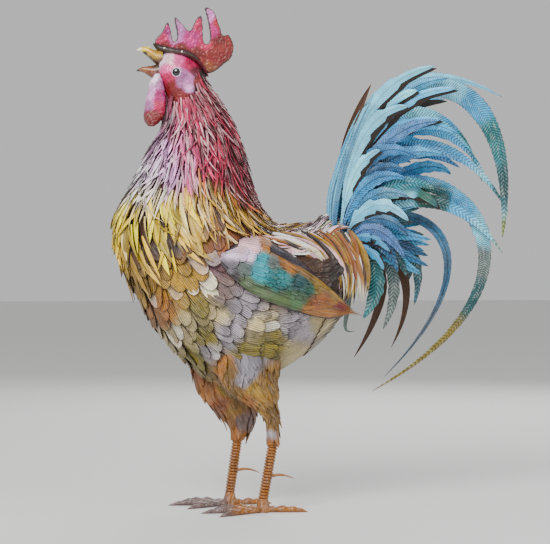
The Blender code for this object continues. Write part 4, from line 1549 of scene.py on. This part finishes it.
@dataclass
class Wing:
    """A folded wing: a pressed shell with scallops, coverts and quills laid over it."""

    word: str
    side: int
    core_thickness: float = 0.011
    # Satin, streaked along the quill and worn at the rims
    quill_enamel: Enamel = Enamel("brushed enamel on wing quills", Relief.STREAKS, 0.0016, 0.0006, groove=0.4,
                                  speck=0.25, streak=0.14, wear=0.7, blotch=0.3)
    # Rays that catch the light, and rims worn to brown, darkened so far that they are also a painted shadow
    # round each scale
    scale_enamel: Enamel = Enamel("washed enamel on chased wing scales", Relief.RAYS, 0.0028, 0.0009,
                                  groove=0.45, speck=0.25, streak=0.14, wear=1.25, blotch=0.3)

    def surface(self, along: np.ndarray, across: np.ndarray, out: np.ndarray) -> np.ndarray:
        """Points of the wing.

        Args:
            along: 0 to 1 from the shoulder to the tip.
            across: -1 to 1 upwards.
            out: metres out from the shell.

        Returns:
            The points in metres.
        """
        spans = on_spline([(s,) for s in WING_HALF_SPANS], along * (len(WING_HALF_SPANS) - 1))[:, 0]
        table = np.array(WING_OUTLINE)
        above, below = (np.interp(along, table[:, 0], table[:, k]) for k in (1, 2))
        shoulder, tip = (np.array([x, 0, z]) for x, z in (WING_SHOULDER, WING_TIP))
        axis = tip - shoulder
        upwards = unit(np.array([-axis[2], 0, axis[0]]))
        reach = np.where(across > 0, above, below) * across
        points = (shoulder + axis * along[:, None] + upwards * reach[:, None]) * GRID
        tuck = WING_TUCK * np.maximum(0, across - 0.55) ** 2 / 0.2
        points[:, 1] = self.side * ((spans - WING_CROWN * across**2 - tuck) * GRID + out)
        return points

    def add(self, pieces: Pieces, blank: Blank, spot: tuple[float, float], length: float, half: float,
            drift: float, lift: Lift, chance: random.Random, tint: Tint | None = None) -> None:
        """Lays a blank on the wing, pointing to its tip, and paints it.

        Args:
            pieces: where it goes.
            blank: the flat blank.
            spot: where its root is along and across the wing.
            length: its length as a share of the wing's.
            half: half its width as a share of the wing's reach.
            drift: how far its tip moves up across the wing.
            lift: how it stands off the shell.
            chance: the source of chance.
            tint: its colour, where it has one of its own.
        """
        share, aside, up = blank.points.T
        rise = lift.root + (lift.tip - lift.root) * share**lift.power
        crease = 0.0010 * (1 - np.abs(aside))
        along = np.clip(spot[0] + share * length, -0.02, 1.10)
        placed = self.surface(along, spot[1] + drift * share + aside * half, rise + up + crease)
        colours = plain(tint, placed) if tint else sprayed(WING_PAINT, placed)
        own = np.full(len(placed), chance.random())
        lay = np.stack([share * length * WING_LENGTH * GRID, aside * half * WING_HALF_HEIGHT, own], 1)
        pieces.add(placed, blank.faces, colours * chance.uniform(0.72, 1.15), blank.edge, lay)

    def build(self) -> None:
        """Lays the wing from its shell outwards."""
        chance = Seed.WING.start()
        core = BlankCutter(24, 12, lambda share: 1.0, gauge=self.core_thickness).cut()
        scallop = BlankCutter(8, 10, scale_outline, 1.5, ray_height=0.0004).cut()
        quill = BlankCutter(16, 4, quill_outline).cut()
        lancet = BlankCutter(12, 4, lancet_outline).cut()
        quills, scales = Pieces(), Pieces()
        self.add(quills, core, (0.0, 0.0), 0.95, 0.97, 0.0, Lift(0.0, 0.0), chance, Tint.DUSK)
        self.add_quills(quills, quill, lancet, chance)
        self.add_scales(scales, scallop, chance)
        quills.finish(f"{self.word}_wing_quills", self.quill_enamel, f"{self.word}_wing")
        scales.finish(f"{self.word}_wing_scales", self.scale_enamel, like=f"{self.word}_wing")

    def add_quills(self, quills: Pieces, quill: Blank, lancet: Blank, chance: random.Random) -> None:
        """Lays the tip's lancets, the lower edge's quills, and the coverts above them.

        Args:
            quills: where they go.
            quill: the blank of a quill.
            lancet: the blank of a lancet.
            chance: the source of chance.
        """
        for i in range(8):
            spot = (0.54 + 0.03 * (i % 2), -0.80 + i * 0.175)
            lift = Lift(0.001 + 0.0004 * i, 0.003)
            self.add(quills, lancet, spot, 0.54 - 0.03 * abs(i - 3), 0.15, 0.02, lift, chance)
        for i in range(6):
            spot = (0.06 + 0.012 * i, -0.86 + 0.11 * i)
            lift = Lift(0.0012 + 0.0005 * i, 0.0024 + 0.0005 * i)
            self.add(quills, quill, spot, 0.60 + 0.03 * i, 0.14, 0.05, lift, chance)
        for row in range(7):
            lift = Lift(0.0016 + 0.0004 * row, 0.0034 + 0.0003 * row)
            for i in range(3):
                spot = (0.62 - row * 0.085 + chance.uniform(-0.02, 0.02), 0.30 + 0.14 * i)
                self.add(quills, lancet, spot, chance.uniform(0.24, 0.32), 0.10, -0.02, lift, chance)
        for i in range(3):
            spot = (0.50 + 0.07 * i, 0.62 - 0.09 * i)
            self.add(quills, quill, spot, 0.36, 0.15, -0.06, Lift(0.002, 0.0038), chance)

    def add_scales(self, scales: Pieces, scallop: Blank, chance: random.Random) -> None:
        """Lays the scallops of the middle, and the large ones of the shoulder over them.

        Args:
            scales: where they go.
            scallop: their blank.
            chance: the source of chance.
        """
        for row in range(7):
            lift = Lift(0.0030 + 0.0003 * row, 0.0050 + 0.0003 * row)
            for i in range(5):
                along = 0.555 - row * 0.062 + chance.uniform(-0.015, 0.015)
                spot = (along, -0.46 + (i + row % 2 / 2) * 0.19)
                length, half = chance.uniform(0.12, 0.17), chance.uniform(0.11, 0.16)
                self.add(scales, scallop, spot, length, half, 0.0, lift, chance)
        for spot in ((0.06, -0.62), (0.10, -0.18)):
            self.add(scales, scallop, spot, 0.12, 0.26, 0.0, Lift(0.0052, 0.0066), chance)
        for row in range(3):
            lift = Lift(0.0046 + 0.0006 * row, 0.0060 + 0.0004 * row)
            for i in range(4 - row):
                spot = (0.13 - row * 0.065, 0.22 + (i + row % 2 / 2) * 0.22)
                self.add(scales, scallop, spot, 0.15, 0.19, 0.0, lift, chance)
        self.add(scales, scallop, (-0.02, -0.05), 0.13, 0.6, 0.0, Lift(0.0050, 0.0066), chance)


def draw_out(name: str, sections: Sequence[tuple[float, float, float, float]], y: float, segments: int,
             rows: int = 40, level: bool = True) -> bpy.types.Object:
    """Draws a form out of a disc, section by section.

    Args:
        name: the object's name.
        sections: centre x, height z, and two half sizes in squares: length and width for level
            sections, or height and width for upright ones that follow X.
        y: the centre's Y in squares.
        segments: the points round a section.
        rows: the sections drawn, on a curve through the given ones.
        level: whether the sections lie flat.

    Returns:
        The object.
    """
    drawn = on_spline(sections, np.linspace(0, len(sections) - 1, rows))
    x, z = drawn[0, :2]
    made = add_primitive(
        name, bpy.ops.mesh.primitive_circle_add, vertices=segments, radius=GRID, fill_type="NGON",
        location=(x * GRID, y * GRID, z * GRID), rotation=(0, 0 if level else math.pi / 2, 0),
    )
    edit_mesh(made)
    bpy.ops.mesh.select_all(action="SELECT")
    before = (1.0, 1.0)
    for i, (x, z, size, width) in enumerate(drawn):
        size, width = max(0.3, size), max(0.3, width)
        if i:
            step = ((x - drawn[i - 1, 0]) * GRID, 0, (z - drawn[i - 1, 1]) * GRID)
            bpy.ops.mesh.extrude_region_move(TRANSFORM_OT_translate={"value": step})
        growth, spread = size / before[0], width / before[1]
        value = (growth, spread, 1) if level else (1, spread, growth)
        bpy.ops.transform.resize(value=value, center_override=(x * GRID, y * GRID, z * GRID))
        before = (size, width)
    close_mesh()
    return made


def join(name: str, parts: Sequence[bpy.types.Object]) -> bpy.types.Object:
    """Makes one object of several.

    Args:
        name: its name.
        parts: the objects.

    Returns:
        The object.
    """
    pick(*parts)
    bpy.ops.object.join()
    parts[0].name = name
    return parts[0]


def cut_plate(name: str, outline: Sequence[tuple[float, float]], thickness: float,
              grain: float) -> bpy.types.Object:
    """Cuts a thick plate to an outline, and meshes it evenly for the hammer with its edges rounded.

    Args:
        name: the object's name.
        outline: its corners in squares; the edge is a smooth curve through them.
        thickness: its thickness in metres.
        grain: the spacing of its mesh in metres.

    Returns:
        The object.
    """
    points = on_spline((*outline, outline[0]), np.linspace(0, len(outline), len(outline) * 8 + 1)[:-1])
    plate = add_primitive(name, bpy.ops.mesh.primitive_circle_add, vertices=len(points), radius=GRID,
                          fill_type="NGON")
    for vertex, (x, z) in zip(plate.data.vertices, points):
        vertex.co = (x * GRID, -thickness / 2, z * GRID)
    edit_mesh(plate)
    bpy.ops.mesh.select_all(action="SELECT")
    bpy.ops.mesh.extrude_region_move(TRANSFORM_OT_translate={"value": (0, thickness, 0)})
    close_mesh()
    apply_modifier(plate, "REMESH", mode="VOXEL", voxel_size=grain)
    apply_modifier(plate, "SMOOTH", factor=0.5, iterations=5)
    return plate


def paint_form(made: bpy.types.Object, passes: Sequence[Spray], edge: float | np.ndarray = 0.0,
               slant: float = 90.0) -> None:
    """Sprays a modelled form and lays its grain on it.

    Args:
        made: the object.
        passes: the spray passes.
        edge: how worn it is, all over or at each point.
        slant: which way the grain runs, in degrees up from level.
    """
    points = np.array([v.co for v in made.data.vertices])
    sine, cosine = math.sin(math.radians(slant)), math.cos(math.radians(slant))
    x, y, z = points.T
    lay = np.stack([x * cosine + z * sine, z * cosine - x * sine + y, x * 0], 1)
    paint_points(made, sprayed(passes, points), np.zeros(len(points)) + edge, lay)


def hammer(made: bpy.types.Object, size: float, depth: float) -> None:
    """Dents a form all over, as with a ball hammer.

    Args:
        made: the object.
        size: a dent's width in metres.
        depth: a dent's depth in metres.
    """
    texture = bpy.data.textures.new(f"dents of {made.name}", "VORONOI")
    texture.noise_scale = size
    apply_modifier(made, "DISPLACE", texture=texture, strength=depth, mid_level=0.5, texture_coords="LOCAL")


HEAD_SLICES = (
    (-139, 453.5, 4, 2.5),
    (-138.5, 452, 10, 7),
    (-136, 448, 16, 11),
    (-132.5, 441, 21, 16),
    (-129.5, 433, 24, 19),
    (-127.5, 424, 22, 19),
    (-125, 414, 21, 18.5),
    (-125, 402, 19, 17),
    (-127, 392, 16, 14),
)
WATTLE_SLICES = (
    (-154, 432, 2, 2),
    (-155, 425, 6, 4),
    (-155, 415, 8, 5),
    (-155.5, 405, 9.5, 5.5),
    (-156.5, 395, 10, 5.5),
    (-158, 387, 8.5, 5),
    (-159.5, 381, 3, 2),
)
WATTLE_SPREAD = 7
UPPER_BEAK = (
    (-149, 447, 9, 8), (-156.6, 449.5, 6.6, 6.8), (-161.6, 453.4, 5.6, 5.4), (-166.6, 455.6, 3.8, 3.8),
    (-170, 456.4, 2.1, 2.4), (-174.2, 455.8, 0.5, 0.6),
)
LOWER_BEAK = (
    (-149, 435.5, 8.5, 7.6), (-156, 434.6, 6.8, 6.3), (-159.5, 434.6, 6, 5.6), (-166.6, 436.2, 3.3, 3.8),
    (-170, 436.4, 2.2, 2.6), (-174.4, 435, 0.5, 0.6),
)
COMB_RAIL = (
    (-158, 462, 1, 2), (-154, 459, 3.4, 6), (-150, 457, 4, 8), (-138, 454.4, 4.2, 11), (-124, 451.6, 4.4, 13),
    (-115, 446.2, 4.8, 14), (-110.5, 440.5, 4.4, 13), (-106, 435, 3.8, 9), (-103, 431, 1, 3),
)
COMB_OUTLINE = (
    (-154, 457.5), (-156, 465), (-149, 474), (-144, 483.5), (-141, 477), (-139.5, 470), (-138.6, 465.5),
    (-136, 464.5), (-134, 468), (-134.2, 474), (-136.5, 488.5), (-130, 483), (-121.5, 475.5), (-114.5, 488),
    (-110, 490), (-108.9, 480), (-108.7, 470), (-107.5, 464.5), (-105.2, 462.3), (-102.5, 464), (-101, 469),
    (-101.8, 478), (-104, 489), (-106, 499), (-98, 495), (-93, 483), (-88.5, 471.5), (-83, 472), (-78, 461),
    (-80.5, 449.5), (-88, 443), (-95, 437), (-103, 434), (-110, 440.8), (-117, 446.8),
    (-128, 452.4), (-141, 453.6),
)

HEAD_PAINT = sprays(
    # The pale lilac and shell at the top front of the face are the brow's paint, and a painted highlight
    # there as well
    PALE_LILAC=((-150, 448, 7),),
    SHELL=((-142, 447, 6),),
    PINK=((-132, 446, 6), (-144, 436, 5)),
    ROSE=((-120, 442, 6), (-142, 428, 5)),
    ORCHID=((-128, 430, 5), (-122, 426, 6), (-130, 421, 5)),
    LILAC=((-122, 416, 5),),
    OXIDE=((-138, 420, 5), (-132, 412, 6), (-124, 406, 8)),
    WINE=((-116, 434, 5),),
    UMBER=((-108, 428, 7), (-110, 414, 7)),
)
WATTLE_PAINT = sprays(
    # The pale lilac at the top front of the wattle is a painted highlight
    PALE_LILAC=((-158, 426, 6),),
    ORCHID=((-151, 420, 5), (-160, 400, 5)),
    LILAC=((-160, 412, 6),),
    MAGENTA=((-152, 410, 6),),
    ROSE=((-152, 400, 6),),
    OXIDE=((-157, 390, 6), (-157, 382, 8)),
)
COMB_PAINT = sprays(
    ROSE=((-150, 468, 6), (-114, 482, 6), (-106, 462, 6)),
    MAGENTA=((-146, 476, 6), (-120, 468, 7), (-99, 476, 6)),
    ORCHID=((-132, 480, 7), (-135, 470, 7), (-103, 490, 7)),
    SCARLET=((-92, 484, 6),),
    OXIDE=((-84, 466, 9), (-148, 459, 6), (-130, 457, 6), (-112, 450, 8), (-94, 452, 12)),
    BRICK=((-102, 438, 8),),
    UMBER=((-144, 485, 4.5), (-137, 491, 5), (-110, 493, 5), (-106, 502, 5), (-83, 475, 4)),
)
BEAK_PAINT = sprays(
    CREAM=((-173, 458, 5),),
    LEMON=((-166, 458, 4),),
    GOLD=((-158, 453, 5),),
    UMBER=((-166, 452, 2.4), (-161, 447.5, 2.4), (-174, 435, 3)),
    BROWN=((-158, 443, 3), (-152, 440, 4)),
    SIENNA=((-167, 437, 5),),
    RUST=((-160, 431, 5),),
)


@dataclass
class Head:
    """The head with its comb, open beak, wattles, ear lobes and eyes."""

    # The place x and z and the radius, in squares
    eye: tuple[float, float, float] = (-136.5, 432.5, 4.2)
    ear_lobe: tuple[float, float, float] = (-114.5, 423, 5.6)
    comb_thickness: float = 0.0085
    # Each weld bead's place x and z, and how far it is from the middle plane, in squares; the beads are
    # painted pale, which is also a painted glint
    welds: tuple[tuple[float, float, float], ...] = ((-147.5, 457, 9.2), (-130.5, 453.4, 12.8))
    # Shining dents with dark between them, which is partly paint and partly painted shade in the hollows
    enamel: Enamel = Enamel("satin enamel on hammered steel", Relief.HAMMERED, 0.0036, 0.0012, roughness=0.4,
                            speck=0.0, streak=0.04, blotch=0.4, groove=0.45, wear=0.6, coat=0.3)
    # Glossy, with soft creases along the lobe
    fold_enamel: Enamel = Enamel("satin enamel on creased steel", Relief.STREAKS, 0.0032, 0.0016,
                                 roughness=0.32, speck=0.1, streak=0.14, blotch=0.2, groove=0.45, coat=0.5)
    # Smooth and glossy, with faint lines along the beak
    horn: Enamel = Enamel("satin enamel on smooth horn", Relief.STREAKS, 0.0018, 0.0003, roughness=0.35,
                          speck=0.12, streak=0.15, coat=0.5)
    # A wet bead
    pupil: Gloss = Gloss("black gloss enamel", Tint.BLACK)

    def skin_at(self, x: float, z: float) -> tuple[Vector, Vector]:
        """A place on the left of the head.

        Args:
            x: the place in squares.
            z: the height in squares.

        Returns:
            The point in metres, and the way the skin faces.
        """
        for upper, lower in zip(HEAD_SLICES, HEAD_SLICES[1:]):
            if lower[1] <= z <= upper[1]:
                share = (upper[1] - z) / (upper[1] - lower[1])
                centre, _, length, width = (a + share * (b - a) for a, b in zip(upper, lower))
                widening = (lower[3] - upper[3]) / (upper[1] - lower[1])
        along = (x - centre) / length
        beside = math.sqrt(1 - along**2)
        normal = Vector((along / length, -beside / width, widening * beside / width)).normalized()
        return Vector((x, -width * beside, z)) * GRID, normal

    def add_disc(self, name: str, spot: tuple[float, float, float], thickness: float, rim: bool, side: int,
                 finish: Enamel | Gloss, node: str) -> None:
        """Sets a domed disc on the side of the head.

        Args:
            name: the piece's name.
            spot: its place x, z and its radius in squares.
            thickness: how far the dome stands out.
            rim: whether a pale ring goes round it.
            side: -1 for the left, 1 for the right.
            finish: its finish.
            node: the frame's node that it stands for.
        """
        point, normal = self.skin_at(*spot[:2])
        centre = Vector((point.x, -side * point.y, point.z))
        normal.y *= -side
        turn = normal.to_track_quat("Z", "Y")
        radius = spot[2] * GRID
        dome = add_primitive(name, bpy.ops.mesh.primitive_uv_sphere_add, segments=28, ring_count=14,
                             radius=radius)
        dome.data.transform(Matrix.LocRotScale(centre, turn, Vector((1, 1, thickness / radius))))
        paint_form(dome, sprays(OXIDE=((*spot[:2], 9),)))
        place(dome, finish, node)
        if rim:
            ring = add_primitive(
                f"{name}_ring", bpy.ops.mesh.primitive_torus_add, major_segments=32, minor_segments=8,
                major_radius=radius * 0.98, minor_radius=0.0008, location=centre, rotation=turn.to_euler())
            place(ring, Gloss("pale lilac enamel", Tint.PALE_LILAC, 0.3))

    def add_comb(self) -> None:
        """Cuts the comb as a thick plate, dents it, and sets it on its rail."""
        comb = cut_plate("comb_plate", COMB_OUTLINE, self.comb_thickness, 0.0010)
        hammer(comb, 0.0042, 0.0012)
        points = np.array([v.co for v in comb.data.vertices])
        places = np.linspace(0, len(COMB_OUTLINE), 400)
        rim = on_spline((*COMB_OUTLINE, COMB_OUTLINE[0]), places) * GRID
        away = np.array([np.hypot(rim[:, 0] - x, rim[:, 1] - z).min() for x, _, z in points])
        paint_form(comb, COMB_PAINT, np.clip(1 - (away - 0.0008) / 0.0030, 0, 0.95))
        place(comb, self.enamel, "comb")
        rail = draw_out("comb_rail", COMB_RAIL, 0, 20, 44, level=False)
        paint_form(rail, sprays(STEEL=((-130, 450, 20),), WINE=((-104, 436, 12),)))
        place(rail, self.enamel, like="comb")
        for i, (x, z, y) in enumerate(self.welds, 1):
            for side, word in ((-1, "left"), (1, "right")):
                weld = add_primitive(
                    f"{word}_comb_weld_{i}", bpy.ops.mesh.primitive_uv_sphere_add, segments=16, ring_count=8,
                    radius=0.0016, location=(x * GRID, side * y * GRID, z * GRID))
                hammer(weld, 0.003, 0.0005)
                # Bare weld beads, painted pale as glints where the light catches the rail
                place(weld, Gloss("bare weld with painted glint", Tint.BONE, 0.3))

    def build(self) -> None:
        """Makes the head and all that is on it."""
        head = draw_out("head_shell", HEAD_SLICES, 0, 64, 60)
        hammer(head, 0.0052, 0.0013)
        paint_form(head, HEAD_PAINT)
        place(head, self.enamel, "head")
        self.add_comb()
        for word, sections in (("upper", UPPER_BEAK), ("lower", LOWER_BEAK)):
            beak = draw_out(f"{word}_beak_horn", sections, 0, 28, 36, level=False)
            paint_form(beak, BEAK_PAINT)
            place(beak, self.horn, f"{word}_beak")
        for side, word in ((-1, "left"), (1, "right")):
            wattle = draw_out(f"{word}_wattle_lobe", WATTLE_SLICES, side * WATTLE_SPREAD, 40, 56)
            hammer(wattle, 0.0055, 0.0016)
            paint_form(wattle, WATTLE_PAINT, slant=24)
            place(wattle, self.fold_enamel, f"{word}_wattle")
            self.add_disc(f"{word}_eye_bead", self.eye, 0.0028, True, side, self.pupil, f"{word}_eye")
            self.add_disc(f"{word}_ear_disc", self.ear_lobe, 0.0032, False, side, self.enamel,
                          f"{word}_ear_lobe")


LEFT_LEG = ((-42, 66), (-52, 13))
RIGHT_LEG = ((-70, 66), (-78, 13))
LEFT_THIGH_SLICES = (
    (-70, 178, 34, 22), (-68, 150, 32, 22), (-66, 128, 26, 19), (-61, 116, 22, 16),
    (-51, 105, 11, 11), (-44, 90, 6.2, 8), (-42, 66, 6.8, 6.5),
)
RIGHT_THIGH_SLICES = (
    (-88, 178, 33, 22), (-85, 150, 33, 22), (-82, 128, 31, 20), (-79, 112, 27, 18),
    (-70, 90, 17, 13), (-68, 77, 10.5, 9.5), (-70, 66, 6.8, 6.5),
)
NEAR_THIGH_PAINT = sprays(
    CHESTNUT=((-92, 144, 8),),
    TAN=((-80, 138, 7), (-44, 130, 8), (-74, 118, 8), (-50, 100, 7), (-38, 90, 6)),
    ASH=((-62, 142, 9),),
    DOVE=((-68, 130, 7), (-40, 76, 3)),
    OCHRE=((-56, 120, 7),),
    COPPER=((-64, 108, 8), (-41, 66, 5)),
)
FAR_THIGH_PAINT = sprays(
    SIENNA=((-112, 134, 10), (-86, 100, 8)),
    COPPER=((-100, 118, 10), (-68, 68, 5)),
    OLIVE=((-84, 122, 7),),
    TAN=((-76, 98, 7),),
    TAUPE=((-66, 84, 6),),
    CHESTNUT=((-76, 80, 6),),
)
LEG_PAINT = sprays(
    COPPER=((-60, 60, 20), (-60, 36, 16), (-60, 12, 12), (-30, 8, 14)),
    TAUPE=((-110, 8, 22), (-136, 6, 12)),
)


@dataclass
class Leg:
    """A leg: the feathered thigh, the shank bound with wire, the spur and the foot."""

    word: str
    side: int
    joints: tuple[tuple[float, float], tuple[float, float]]
    thigh_slices: Sequence[tuple[float, float, float, float]]
    thigh_paint: Sequence[Spray]
    half_stance: float = 0.045
    rod_radius: float = 0.0052
    wire_radius: float = 0.0019
    turns: int = 19
    # Each toe's length in squares, and its turn outwards from straight ahead in degrees
    toes: tuple[tuple[str, float, float], ...] = (
        ("outer", 58, 36), ("middle", 62, 4), ("inner", 54, -32), ("hind", 44, 172),
    )
    toe_height: float = 7
    toe_half_width: float = 4.2
    # A toe's height and width as shares of the full ones, at a share of its length
    toe_taper: tuple[tuple[float, float, float], ...] = (
        (0.0, 0.5, 1.0), (0.12, 0.8, 1.0), (0.22, 0.94, 1.0), (0.30, 0.74, 0.82), (0.45, 1.0, 0.92),
        (0.56, 0.76, 0.72), (0.68, 0.86, 0.72), (0.78, 0.62, 0.52), (0.84, 0.62, 0.5), (0.92, 0.36, 0.34),
        (1.0, 0.08, 0.12),
    )
    # Warm metal that shines through thin paint
    enamel: Enamel = Enamel("copper enamel on wire", Relief.STREAKS, 0.0016, 0.0003, metallic=0.35, speck=0.2,
                            streak=0.25)
    # The same over hammer marks, with more specks
    toe_enamel: Enamel = Enamel("copper enamel on forged steel", Relief.HAMMERED, 0.0030, 0.0010,
                                roughness=0.42, metallic=0.25, speck=0.35, streak=0.3, groove=0.35)
    # Matt, with fine hair lines
    thigh_enamel: Enamel = Enamel("rust enamel on hair-chased steel", Relief.STREAKS, 0.0014, 0.0008,
                                  roughness=0.5, coat=0.1)

    def add_thigh(self) -> None:
        """Draws out the thigh, and lays its feathers over it."""
        y = self.side * self.half_stance / GRID
        thigh = draw_out(f"{self.word}_thigh_plumage", self.thigh_slices, y, 48, 56)
        hammer(thigh, 0.012, 0.0016)
        paint_form(thigh, self.thigh_paint)
        place(thigh, self.thigh_enamel, f"{self.word}_thigh")
        table = on_spline(self.thigh_slices, np.linspace(0, len(self.thigh_slices) - 1, 300))

        def line(turn: float) -> np.ndarray:
            """Finds the points down the thigh.

            Args:
                turn: the turn from its front in degrees.

            Returns:
                The points in metres.
            """
            sine, cosine = math.sin(math.radians(turn)), math.cos(math.radians(turn))
            x, z, length, width = table.T
            return np.stack([x - cosine * length, y - sine * width, z], 1) * GRID

        skin = Skin(line, 0.22)
        chance = Seed.THIGH.start()
        pieces = Pieces()
        lancet = BlankCutter(8, 4, lancet_outline).cut()
        for row in range(11):
            walk = 0.022 + 0.0115 * row
            for turn, start in skin.row((walk, walk), (0, 359), 0.0105, chance.random()):
                near = self.side * math.sin(math.radians(turn)) < 0.3
                if start > 0.108 and chance.random() < 0.5:
                    continue
                placed, lay = lay_on_skin(
                    lancet, skin, turn=turn, walk=start + chance.uniform(-0.003, 0.003),
                    length=chance.uniform(0.026, 0.042), half=chance.uniform(0.0046, 0.0072),
                    lift=Lift(0.0006, 0.0030 + 0.0014 * near), swing=chance.gauss(0, 0.16),
                    roll=chance.gauss(0, 0.2), crease=0.2,
                )
                colours = sprayed(self.thigh_paint, placed) * chance.uniform(0.62, 1.12)
                lay[:, 2] = chance.random()
                pieces.add(placed, lancet.faces, colours, lancet.edge * 0.8, lay)
        pieces.finish(f"{self.word}_thigh_feathers", self.thigh_enamel, like=f"{self.word}_thigh")

    def add_foot(self) -> None:
        """Draws out the toes and the ankle, and joins them."""
        x = self.joints[1][0]
        y = self.side * self.half_stance / GRID
        ankle = ((x, 0.4, 8, 7), (x, 4, 7.4, 6.6), (x, 8, 6, 5.8), (x, 13.4, 4.6, 4.6))
        parts = [draw_out("ankle", ankle, y, 24, 12)]
        for name, length, degrees in self.toes:
            half = self.toe_height / 2
            sections = [(share * length, half * tall, half * tall, self.toe_half_width * wide)
                        for share, tall, wide in self.toe_taper]
            toe = draw_out(f"{name}_toe", sections, 0, 20, 40, level=False)
            turn = math.atan2(self.side * math.sin(math.radians(degrees)), -math.cos(math.radians(degrees)))
            toe.data.transform(Matrix.Translation((x * GRID, y * GRID, 0)) @ Matrix.Rotation(turn, 4, "Z"))
            parts.append(toe)
        foot = join(f"{self.word}_forged_foot", parts)
        hammer(foot, 0.004, 0.0005)
        for vertex in foot.data.vertices:
            vertex.co.z = max(0.0, vertex.co.z)
        paint_form(foot, LEG_PAINT)
        place(foot, self.toe_enamel, f"{self.word}_foot")

    def add_spur(self) -> None:
        """Draws out the spur behind the shank."""
        hock, ankle = self.joints
        x = ankle[0] + (hock[0] - ankle[0]) * 0.42 + 3.2
        z = ankle[1] + (hock[1] - ankle[1]) * 0.42
        sections = []
        for share in (0, 0.2, 0.4, 0.6, 0.8, 1.0):
            radius = float(np.interp(share, (0, 0.35, 0.7, 1.0), (1.7, 1.4, 0.9, 0.3)))
            sections.append((x + 24 * share, z + 2.5 * math.sin(math.pi * share) - 3 * share, radius, radius))
        y = self.side * self.half_stance / GRID
        spur = draw_out(f"{self.word}_wire_spur", sections, y, 12, 20, level=False)
        paint_form(spur, LEG_PAINT)
        place(spur, self.toe_enamel, f"{self.word}_spur")

    def add_shank(self) -> None:
        """Winds the wire round its rod, from the ankle to the hock."""
        hock, ankle = self.joints
        y = self.side * self.half_stance
        low = Vector((ankle[0] * GRID, y, ankle[1] * GRID))
        high = Vector((hock[0] * GRID, y, hock[1] * GRID + 0.004))
        length = (high - low).length
        wire = add_primitive(
            "wire", bpy.ops.mesh.primitive_circle_add, vertices=8, radius=self.wire_radius,
            location=(self.rod_radius + self.wire_radius * 0.4, 0, 0), rotation=(math.pi / 2, 0, 0))
        apply_modifier(wire, "SCREW", angle=math.tau, screw_offset=length / self.turns, iterations=self.turns,
                       steps=18, render_steps=18, axis="Z", use_normal_calculate=True)
        rod = add_primitive("rod", bpy.ops.mesh.primitive_cylinder_add, vertices=20, radius=self.rod_radius,
                            depth=length + 0.004, location=(0, 0, length / 2))
        shank = join(f"{self.word}_bound_shank", (rod, wire))
        turn = Vector((0, 0, 1)).rotation_difference(high - low).to_matrix().to_4x4()
        shank.data.transform(Matrix.Translation(low) @ turn)
        paint_form(shank, LEG_PAINT)
        place(shank, self.enamel, f"{self.word}_shank")

    def build(self) -> None:
        """Makes the leg."""
        self.add_thigh()
        self.add_shank()
        self.add_foot()
        self.add_spur()


@dataclass
class Studio:
    """A plain pale floor, soft light, and the camera at the photograph's angle."""

    distance: float = 2.8
    aim: tuple[float, float, float] = (-0.054, 0.0, 0.354)
    frame_width: float = 0.825
    sensor: float = 36

    def add_floor(self) -> None:
        """Lays a wide matt floor under the statue."""
        floor = add_primitive("studio floor", bpy.ops.mesh.primitive_plane_add, size=40)
        paint, shader = new_material("pale studio floor")
        shader.inputs["Base Color"].default_value = (0.75, 0.75, 0.74, 1)
        shader.inputs["Roughness"].default_value = 0.8
        floor.data.materials.append(paint)

    def add_light(self, name: str, place_at: tuple[float, float, float], size: float, power: float) -> None:
        """Hangs a soft light aimed at the statue.

        Args:
            name: the light's name.
            place_at: where it hangs.
            size: its width.
            power: its power in watts.
        """
        data = bpy.data.lights.new(name, "AREA")
        data.size = size
        data.energy = power
        lamp = bpy.data.objects.new(name, data)
        lamp.location = place_at
        lamp.rotation_euler = (Vector(self.aim) - Vector(place_at)).to_track_quat("-Z", "Y").to_euler()
        bpy.context.scene.collection.objects.link(lamp)

    def build(self) -> None:
        """Sets up the studio."""
        self.add_floor()
        self.add_light("key", (-1.4, -2.4, 2.2), 1.4, 118)
        self.add_light("fill", (2.0, -2.2, 1.0), 2.0, 20)
        self.add_light("back", (0.8, 2.2, 1.8), 2.0, 40)
        world = bpy.data.worlds.new("studio")
        world.use_nodes = True
        sky = world.node_tree.nodes["Background"]
        sky.inputs["Color"].default_value = (1.0, 1.0, 1.0, 1)
        sky.inputs["Strength"].default_value = 0.6
        bpy.context.scene.world = world
        data = bpy.data.cameras.new("camera")
        data.sensor_width = self.sensor
        data.lens = self.sensor * self.distance / self.frame_width
        camera = bpy.data.objects.new("camera", data)
        turn = math.radians(VIEW_AZIMUTH)
        camera.location = Vector(self.aim) + Vector((math.sin(turn), -math.cos(turn), 0)) * self.distance
        camera.rotation_euler = (Vector(self.aim) - camera.location).to_track_quat("-Z", "Y").to_euler()
        bpy.context.scene.collection.objects.link(camera)
        bpy.context.scene.camera = camera


def main() -> None:
    """Builds every sub-assembly in order."""
    logging.basicConfig(level=logging.INFO, format="%(name)s: %(message)s")
    Body().build()
    Plumage(Skin(body_line, 0.78)).build()
    Head().build()
    for word, side in (("left", -1), ("right", 1)):
        Wing(word, side).build()
    Leg("left", -1, LEFT_LEG, LEFT_THIGH_SLICES, NEAR_THIGH_PAINT).build()
    Leg("right", 1, RIGHT_LEG, RIGHT_THIGH_SLICES, FAR_THIGH_PAINT).build()
    Tail().build()
    Studio().build()


if __name__ == "__main__":
    main()
